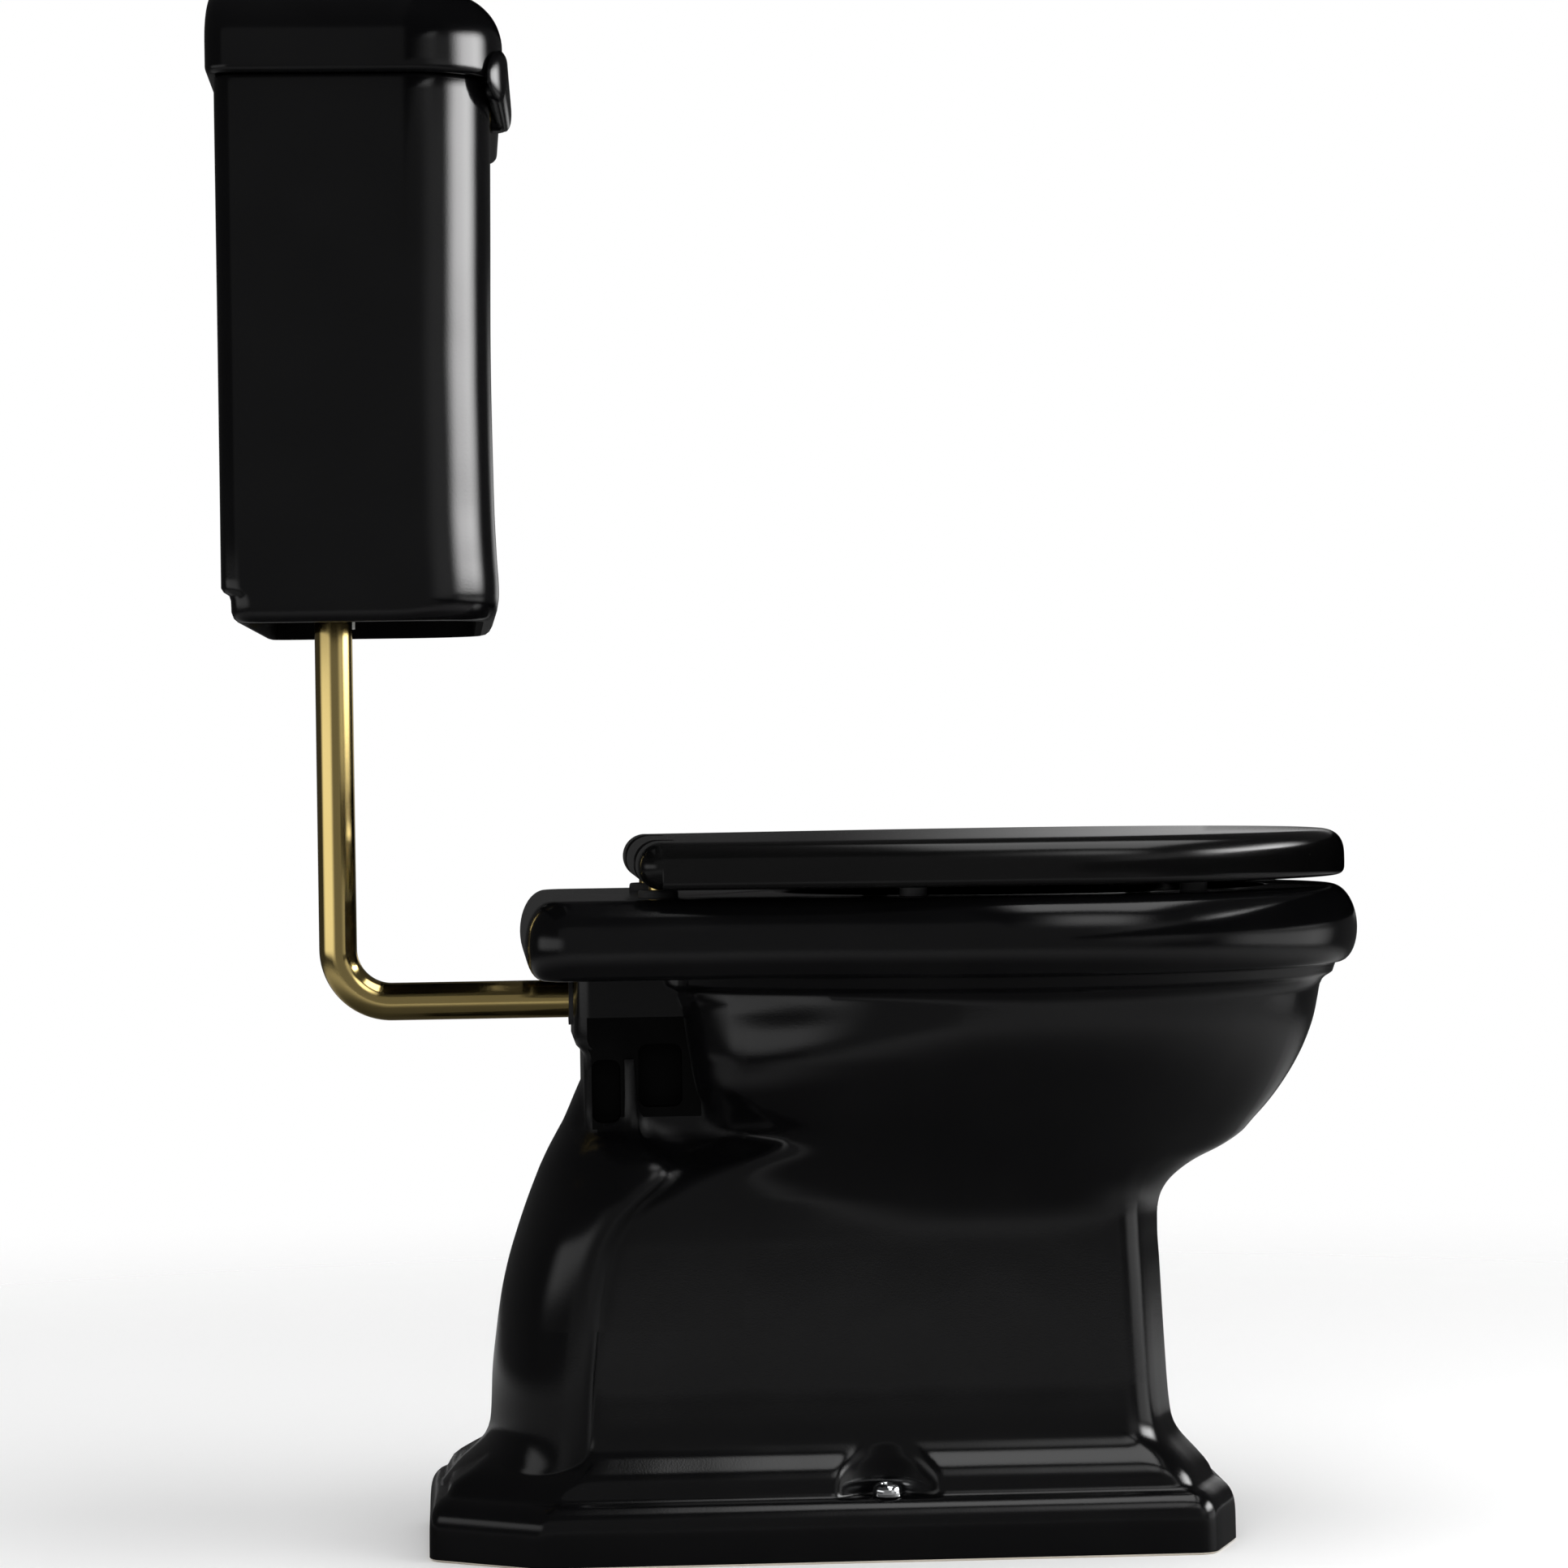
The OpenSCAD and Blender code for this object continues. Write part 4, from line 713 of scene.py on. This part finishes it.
bores = pin_bores(20)
cast(ring, [("DIFFERENCE", opening), ("UNION", arms), ("UNION", knuckles), ("DIFFERENCE", bores)])
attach(ring, "ring")
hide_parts("seat_ring")
refinish(rubber, "ring_buffers", "lid_buffers")


# ---- Seat lid --------------------------------------------------------------------------------
# Moulded like the ring, with a turned down edge that closes over it. Its back edge is a round bar on
# the hinge pins, notched at each hinge, and four rubber feet rest on the ring.
lid_outside = [(440.5, 4.6), (441, 3), (442.6, 1), (445.5, 0.1), (450, 0), (455, 0.1), (460, 0.7),
               (464.4, 2.4), (467.8, 5.2), (470, 9), (471.1, 13), (471.5, 18)]
lid_inside = [(439.5, 8), (452, 8), (456, 8.6), (458.6, 11), (459.5, 15)]
bm = bmesh.new()
skin(bm, [level(seat_plan(inset), z) for z, inset in flowing(lid_outside, 1)])
lid = piece("lacquered_lid", bm, lacquer)
bm = bmesh.new()
skin(bm, [level(seat_plan(inset, hinge_y - 1), z) for z, inset in flowing(lid_inside, 2)])
under = piece("under", bm)
roll_half, roll_r = 134.5, 15.5
roll_end = (0, 10, 20, 30, 40, 50, 60, 70, 80, 88)
roll_rows = [(-roll_half - roll_r * sin(radians(a)), roll_r * cos(radians(a))) for a in roll_end[::-1]]
roll_rows += [(roll_half + roll_r * sin(radians(a)), roll_r * cos(radians(a))) for a in roll_end]
bm = bmesh.new()
skin(bm, [[at(x, hinge_y + a, hinge_z + b) for a, b in around(r, 64)] for x, r in roll_rows])
roll = piece("roll", bm)
step = [(ring_back, 439), (163, 439), (163, 474), (132.4, 474), (132.4, 459.5), (ring_back, 459.5)]
notch_half = 17
bm = bmesh.new()
for side in (-1, 1):
    skin(bm, [[at(hinge_x * side + x, y, z) for y, z in step] for x in (-notch_half, notch_half)])
notch = piece("notch", bm)
bores = pin_bores(27)
cast(lid, [("DIFFERENCE", under), ("UNION", roll), ("DIFFERENCE", notch), ("DIFFERENCE", bores)])
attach(lid, "lid")
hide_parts("seat_lid")


# ---- Cistern ---------------------------------------------------------------------------------
# The tank is cast in the same clay and glaze as the pan: large round front corners, a slight waist, a
# foot drawn in at the back and an open skirt under its floor. It hangs on two screws in its back wall.
# Each row is height, front, back, half width, front radius and back radius.
tank_half, tank_corner, tank_y, valve_x, lever_x, lever_z = 252, 56, 356, 196, -165, 940
tank_rows = flowing([
    (614, 256, 406, 245, 54, 14), (614.8, 252.4, 409, 248, 55, 14), (617, 249.6, 411.4, 250, 56, 14),
    (621, 247.4, 412.8, 251.6, 56, 14), (628, 246.2, 413, 252, 56, 14), (631.4, 246, 414, 252, 56, 14),
    (633.4, 246, 417.4, 252, 56, 14), (636, 246, 419, 252, 56, 14), (654, 247, 419, 252, 56, 14),
    (689, 248.2, 419, 251.2, 56, 14), (774, 249, 419, 250.6, 56, 14), (864, 248, 419, 251.4, 56, 14),
    (930, 247.2, 419, 252, 56, 14), (951, 247, 419, 252, 56, 14),
    (953.2, 247.6, 418.4, 251.4, 55.4, 13.4), (954, 249, 417, 250, 54, 12)], 8)
bm = bmesh.new()
block(bm, tank_rows, (30, 10, 30, 10), 12)
tank = piece("glazed_tank", bm, glaze)
inner_rows = flowing([
    (666, 265, 401, 234, 38, 6), (668, 259.6, 406.4, 239.4, 43.4, 8), (672, 257, 409, 242, 46, 10),
    (700, 257, 409, 242, 46, 10), (950, 257, 409, 242, 46, 10), (953, 256.4, 409.6, 242.6, 46.6, 10.6),
    (955, 254, 412, 245, 49, 13)], 20)
bm = bmesh.new()
block(bm, inner_rows, arc=10)
inner = piece("inner", bm)
bm = bmesh.new()
block(bm, [(612, 260, 404, 239, 43, 9), (616, 261, 403, 238, 42, 8), (656, 261, 403, 238, 42, 8)], arc=8)
skirt = piece("skirt", bm)
bm = bmesh.new()
turned(bm, 0, tank_y, [(650, 20.5), (670, 20.5)])
turned(bm, valve_x, tank_y, [(650, 12), (670, 12)])
bored(bm, lever_z, [(240, 8), (262, 8)], lever_x)
for side in (-1, 1):
    bored(bm, 892, [(404, 4.5), (424, 4.5)], 180 * side, 24)
holes = piece("holes", bm)
cast(tank, [("DIFFERENCE", inner), ("DIFFERENCE", skirt), ("DIFFERENCE", holes)], 34)
corner_x, corner_y = tank_half - tank_corner, 302  # middle of the front corners' roundness
# The tank's floor inside the skirt takes the matt coat: an unpolished underside, which also stands as
# painted shade under the tank.
coat(tank, matt_glaze_and_painted_shade, lambda x, y, z, n: z < 656.5 and x < 239.5 and 259.5 < y < 404.5
     and hypot(max(x - corner_x, 0), max(corner_y - y, 0)) < 45)
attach(tank, "toilet")
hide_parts("cistern_body")


# ---- Cistern lid -----------------------------------------------------------------------------
# A loose glazed lid, round over the front and sides and nearly square at the back. It is hollow, and a
# lip underneath keeps it on the tank, cut away where the lever's nut stands.
lid_front, lid_back, lid_half, lid_corner, lid_back_corner = 239, 424, 260, 64, 16
brow, brow_r = 976, 34
lid_rows = [(954.3, 3.4), (954.8, 1.9), (956.4, 0.6), (959.3, 0), (brow, 0)]
lid_rows = flowing([(z, lid_front + i, lid_back - i, lid_half - i, lid_corner - i, lid_back_corner)
                    for z, i in lid_rows], 3)
for t in (radians(5 * i) for i in range(1, 19)):
    lean = 1 - cos(t)
    lid_rows.append((brow + brow_r * sin(t), lid_front + brow_r * lean, lid_back - 7 * lean,
                     lid_half - brow_r * lean, lid_corner - 32 * lean, lid_back_corner - 7 * lean))
bm = bmesh.new()
block(bm, lid_rows, (30, 10, 30, 10), 14)
tank_lid = piece("glazed_tank_lid", bm, glaze)
bm = bmesh.new()
block(bm, flowing([(953, 269, 405, 230, 34, 8), (988, 269, 405, 230, 34, 8), (995, 272, 402, 227, 31, 6),
                   (997, 277, 397, 222, 26, 4)], 6))
hollow = piece("hollow", bm)
bm = bmesh.new()
block(bm, [(947.3, 259.5, 406.5, 239.5, 43.5, 8), (948.5, 258.5, 407.5, 240.5, 44.5, 9),
           (960, 258.5, 407.5, 240.5, 44.5, 9)], arc=8)
lip = piece("lip", bm)
bm = bmesh.new()
block(bm, [(946, 269, 401, 230, 34, 8), (961, 269, 401, 230, 34, 8)], arc=8)
lip_inside = piece("lip_inside", bm)
bm = bmesh.new()
made = bmesh.ops.create_cube(bm, size=1.0)["verts"]
bmesh.ops.scale(bm, verts=made, vec=(0.032, 0.03, 0.0082))
bmesh.ops.translate(bm, verts=made, vec=at(lever_x, 262, 950.1))
relief = piece("relief", bm)
cast(lip, [("DIFFERENCE", lip_inside), ("DIFFERENCE", relief)])
cast(tank_lid, [("DIFFERENCE", hollow), ("UNION", lip)], 34)
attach(tank_lid, "tank_lid")
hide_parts("cistern_lid")


# ---- Flush pipe ------------------------------------------------------------------------------
# One inch brass tube, bent once and plated pale gold. A capped nut with a rubber ring holds it on the
# siphon's tail under the tank, out of sight, and its other end is pushed into the flush cone.
pipe_r, bend_r = 12.7, 36
run = [(tank_y, z, 0) for z in (629, 600, 560, 500, 440)]
run += [(tank_y - bend_r + bend_r * cos(t), inlet_z + bend_r - bend_r * sin(t), t)
        for t in (radians(3 * i) for i in range(31))]
run += [(y, inlet_z, pi / 2) for y in (300, 260, 220, 190, 159)]
bm = bmesh.new()
skin(bm, [[at(a, y + b * cos(t), z - b * sin(t)) for a, b in around(pipe_r, 72)] for y, z, t in run])
bmesh.ops.delete(bm, geom=[f for f in bm.faces if len(f.verts) > 4], context="FACES")
pipe = piece("plated_pipe", bm, gold)
wall = pipe.modifiers.new("wall", "SOLIDIFY")
wall.thickness = 0.0012
wall.offset = -1
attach(pipe, "toilet")
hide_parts("flush_pipe")
refinish(gold, "pipe_nut")
refinish(rubber, "pipe_seal")


# ---- Flush lever -----------------------------------------------------------------------------
# A glazed ceramic paddle on a steel spindle, bent back round the corner of the cistern lid, with a pad
# and a boss behind. The spindle turns in a plated bush through the tank's front wall, and carries the
# arm that lifts the siphon's rod.
hub, tip = Vector((lever_x, lever_z)), Vector((-217, 955))
hub_r, tip_r, round_count = 12, 17, 24
follow = 0.9  # how much of the lid corner's roundness the leaf takes up
leaf_back = 238.4


def pebble(grow, tip, tip_r, hub_r):
    """Outline round the hub and the paddle: two arcs and the straight sides between them."""
    along = tip - hub
    lean = acos((hub_r - tip_r) / along.length)
    heading = atan2(along.y, along.x)
    places = []
    for centre, r, a, b in ((tip, tip_r, heading - lean, heading + lean),
                            (hub, hub_r, heading + lean, heading - lean + 2 * pi)):
        for i in range(round_count + 1):
            t = a + (b - a) * i / round_count
            places.append((centre.x + (r * grow) * cos(t), centre.y + (r * grow) * sin(t)))
    return places


def bent(x):
    """How far the leaf lies back at x, to follow the round corner of the cistern lid."""
    past = max(0.0, lid_corner - lid_half - x)
    return follow * (lid_corner - sqrt(lid_corner ** 2 - past ** 2))


def leaf(bm, rows, tip, tip_r, hub_r):
    """Leaf by rows of y and how far its outline is filled."""
    skin(bm, [[at(x, y + bent(x), z) for x, z in pebble(grow, tip, tip_r, hub_r)] for y, grow in rows])


bm = bmesh.new()
leaf(bm, [(leaf_back, 0.1), (leaf_back, 0.7), (leaf_back, 0.9), (leaf_back, 0.96), (238, 0.99),
          (237.3, 1), (236.6, 0.985), (235.9, 0.94), (235.2, 0.87), (234.5, 0.77), (233.9, 0.63),
          (233.5, 0.46), (233.3, 0.28), (233.2, 0.1)], tip, tip_r, hub_r)
handle = piece("lever_paddle", bm, glaze)
bm = bmesh.new()
leaf(bm, [(236, 0.1), (236, 1), (240, 0.98), (242.2, 0.9), (243.4, 0.77), (243.6, 0.44)],
     Vector((-222, 945.7)), 5.6, 11.2)
back = piece("back", bm)
bm = bmesh.new()
bored(bm, lever_z, [(234.4, 7), (235.2, 9.4), (236.6, 11.2), (238.6, 12.4), (241, 12.9), (246, 13),
                    (246.9, 12.9)], lever_x)
boss = piece("boss", bm)
bm = bmesh.new()
bored(bm, lever_z, [(236, 4.5), (238.41, 4.5), (238.42, 12), (248, 12)], lever_x)
socket = piece("socket", bm)
cast(handle, [("UNION", back), ("UNION", boss), ("DIFFERENCE", socket)], 30)
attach(handle, "lever")
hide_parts("lever_handle")
refinish(gold, "lever_bush", "lever_nut")
refinish(chrome, "lever_spindle", "lever_arm")


# ---- Siphon and fill valve -------------------------------------------------------------------
# Moulded plastic gear inside the tank: the siphon's bell and tube, the plunger with its flap and rod,
# and the fill valve with a brass arm and a plastic float. Nuts and rubber washers hold both tails.
plastic = finish("moulded plastic", ((0.72, 0.72, 0.68), (0.8, 0.8, 0.76)), (0.38, 0.46), waves=0.03,
                 grain=0.0005, specks=(0.01, 0.04), bump=0.00012, soft_edges=0.0006)
refinish(plastic, "siphon_body", "siphon_backnut", "siphon_plunger", "fill_valve", "valve_backnut",
         "float_ball")
refinish(rubber, "siphon_washers", "plunger_flap", "valve_washers")
refinish(chrome, "lift_rod")
refinish(gold, "float_arm")


# ---- Studio ----------------------------------------------------------------------------------
# A pale floor that fades into a white surround, three lamps, and a set of soft boxes and cards that
# only show as reflections. In the black glaze the surround is dimmed and the near floor carries a
# painted shade, and two black flags keep the soft boxes out of the seat's and the cistern lid's edges.
light_around, dimmed_around = 0.65, 0.04
world = bpy.data.worlds.new("studio")
bpy.context.scene.world = world
world.use_nodes = True
tree = world.node_tree
surround = tree.nodes["Background"]
path = tree.nodes.new("ShaderNodeLightPath")
dim = tree.nodes.new("ShaderNodeMath")
dim.operation = "MULTIPLY_ADD"
dim.inputs[1].default_value = dimmed_around - light_around
dim.inputs[2].default_value = light_around
tree.links.new(path.outputs["Is Glossy Ray"], dim.inputs[0])
white = tree.nodes.new("ShaderNodeMath")
white.operation = "MAXIMUM"
tree.links.new(path.outputs["Is Camera Ray"], white.inputs[0])
tree.links.new(dim.outputs[0], white.inputs[1])
tree.links.new(white.outputs[0], surround.inputs["Strength"])
surround.inputs["Color"].default_value = (1, 1, 1, 1)


def smooth_range(tree, given, reach, values):
    """Node that runs softly from the first value to the second while its input crosses the reach."""
    made = tree.nodes.new("ShaderNodeMapRange")
    made.interpolation_type = "SMOOTHSTEP"
    for socket, value in zip(("From Min", "From Max", "To Min", "To Max"), (*reach, *values)):
        made.inputs[socket].default_value = value
    tree.links.new(given, made.inputs["Value"])
    return made.outputs["Result"]


# The floor fades out between two circles. Its mirror image in the glaze is painted darker near the
# toilet, a painted shadow.
floor_r, faded, darkened, mirror_painted_shade = 3.0, (0.7, 2.2), (0.5, 1.4), (0.04, 0.42)
bm = bmesh.new()
bmesh.ops.create_circle(bm, segments=96, radius=floor_r, cap_ends=True)
floor_paint = finish("pale floor", ((0.9, 0.9, 0.9), (0.92, 0.92, 0.92)), (0.6, 0.7), waves=0.8,
                     grain=0.004, bump=0.00005)
tree = floor_paint.node_tree
paint = tree.nodes["Principled BSDF"]
path = tree.nodes.new("ShaderNodeLightPath")
shade = tree.nodes.new("ShaderNodeMix")
shade.data_type = "RGBA"
tree.links.new(path.outputs["Is Glossy Ray"], shade.inputs["Factor"])
tree.links.new(paint.inputs["Base Color"].links[0].from_socket, shade.inputs["A"])
tree.links.new(shade.outputs["Result"], paint.inputs["Base Color"])
place = tree.nodes.new("ShaderNodeTexCoord")
out_to = tree.nodes.new("ShaderNodeVectorMath")
out_to.operation = "LENGTH"
tree.links.new(place.outputs["Object"], out_to.inputs[0])
tree.links.new(smooth_range(tree, out_to.outputs["Value"], darkened, mirror_painted_shade), shade.inputs["B"])
tree.links.new(smooth_range(tree, out_to.outputs["Value"], faded, (1.0, 0.0)), paint.inputs["Alpha"])
floor = piece("floor", bm, floor_paint)
floor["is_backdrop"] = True


def panel(name, centre, face_to, width, height, strength, edge):
    """Glowing panel that fades towards its edges and is seen only in reflections."""
    bm = bmesh.new()
    bmesh.ops.create_grid(bm, x_segments=1, y_segments=1, size=0.5, calc_uvs=True)
    obj = piece(name, bm)
    uv = obj.data.uv_layers.active or obj.data.uv_layers.new()
    for loop in obj.data.loops:
        x, y = obj.data.vertices[loop.vertex_index].co.xy
        uv.data[loop.index].uv = (x * 2, y * 2)
    turn = (Vector(face_to) - Vector(centre)).to_track_quat("Z", "Y")
    for v in obj.data.vertices:
        v.co = Vector(centre) + turn @ Vector((v.co.x * width, v.co.y * height, 0))
    glow = bpy.data.materials.new(name)
    glow.use_nodes = True
    glow.cycles.emission_sampling = "NONE"
    tree = glow.node_tree
    tree.nodes.remove(tree.nodes["Principled BSDF"])
    light = tree.nodes.new("ShaderNodeEmission")
    place = tree.nodes.new("ShaderNodeUVMap")
    apart = tree.nodes.new("ShaderNodeSeparateXYZ")
    tree.links.new(place.outputs["UV"], apart.inputs[0])
    fades = []
    for axis in "XY":
        size = tree.nodes.new("ShaderNodeMath")
        size.operation = "ABSOLUTE"
        tree.links.new(apart.outputs[axis], size.inputs[0])
        fades.append(smooth_range(tree, size.outputs[0], (1.0 - edge, 1.0), (1.0, 0.0)))
    both = tree.nodes.new("ShaderNodeMath")
    both.operation = "MULTIPLY"
    tree.links.new(fades[0], both.inputs[0])
    tree.links.new(fades[1], both.inputs[1])
    clear = tree.nodes.new("ShaderNodeBsdfTransparent")
    mix = tree.nodes.new("ShaderNodeMixShader")
    light.inputs["Strength"].default_value = strength
    tree.links.new(both.outputs[0], mix.inputs["Fac"])
    tree.links.new(clear.outputs[0], mix.inputs[1])
    tree.links.new(light.outputs[0], mix.inputs[2])
    tree.links.new(mix.outputs[0], tree.nodes["Material Output"].inputs["Surface"])
    obj.data.materials.append(glow)
    obj.visible_camera = False
    obj.visible_shadow = False
    obj.visible_diffuse = False
    obj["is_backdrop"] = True


# Name, centre, the place it faces, width, height, strength, share of each half that fades
for row in (("tank soft box", (-0.5, -2.6, 1.28), (-0.5, 0, 1.28), 3.4, 1.7, 15.0, 0.8),
            ("pan soft box", (-0.3, -2.6, 0.1), (-0.3, 0, 0.1), 3.2, 0.9, 1.2, 0.6),
            ("front flank", (-2.6, -2.2, 0.9), (0, 0.1, 0.6), 3.0, 2.4, 0.6, 0.9),
            ("camera side wall", (-4.2, 0.2, 1.0), (0, 0.2, 1.0), 8.0, 4.5, 0.17, 0.3),
            ("top soft box", (-0.6, -0.8, 2.5), (-0.6, -0.8, 0), 2.4, 1.76, 3.0, 0.3),
            ("upper side box", (-2.5, -1.1, 2.0), (-0.1, -1.1, 0.42), 2.1, 1.6, 2.2, 0.8),
            ("far side card", (3.0, -1.2, 0.75), (0, -0.3, 0.6), 2.0, 0.9, 0.8, 0.8),
            ("pipe side card", (-0.75, 1.35, 0.45), (0, 0.3, 0.45), 2.3, 0.56, 1.1, 0.6),
            ("pan flag", (-0.3, -0.42, 0.46), (-0.3, 0, 0.46), 2.4, 0.09, 0.0, 0.05),
            ("tank flag", (-0.6, 0.06, 1.8), (-0.6, 1, 1.8), 3.0, 1.5, 0.0, 0.02)):
    panel(*row)

lit_place = Vector((0, 0, 0.5))
for name, place, size, power in (("key", (-0.6, -2.0, 1.9), 2.0, 30),
                                 ("overhead", (-0.4, 0.3, 2.8), 2.4, 34),
                                 ("fill", (-2.6, 0.8, 1.6), 2.0, 22)):
    lamp = bpy.data.lights.new(name, "AREA")
    lamp.shape = "DISK"
    lamp.size = size
    lamp.energy = power
    stand = bpy.data.objects.new(name, lamp)
    stand.location = place
    stand.rotation_euler = (lit_place - Vector(place)).to_track_quat("-Z", "Y").to_euler()
    stand.visible_glossy = False
    stand.visible_camera = False
    bpy.context.scene.collection.objects.link(stand)

# The camera stands level on the photograph's side, turned and rolled a little as the picture was taken.
turned_to_front, rolled = radians(3.084), radians(-0.856)
camera = bpy.data.objects.new("camera", bpy.data.cameras.new("camera"))
bpy.context.scene.collection.objects.link(camera)
bpy.context.scene.camera = camera
camera.data.lens = 106.05
camera.data.sensor_width = 36
camera.data.shift_x = 0.05
camera.data.shift_y = -0.0302
camera.location = (-3.1203, 0.2291, 0.5394)
aim = Vector((cos(turned_to_front), -sin(turned_to_front), 0)).to_track_quat("-Z", "Y")
camera.rotation_euler = (aim @ Quaternion((0, 0, 1), rolled)).to_euler()
bpy.context.scene.view_settings.view_transform = "Standard"

low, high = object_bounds()
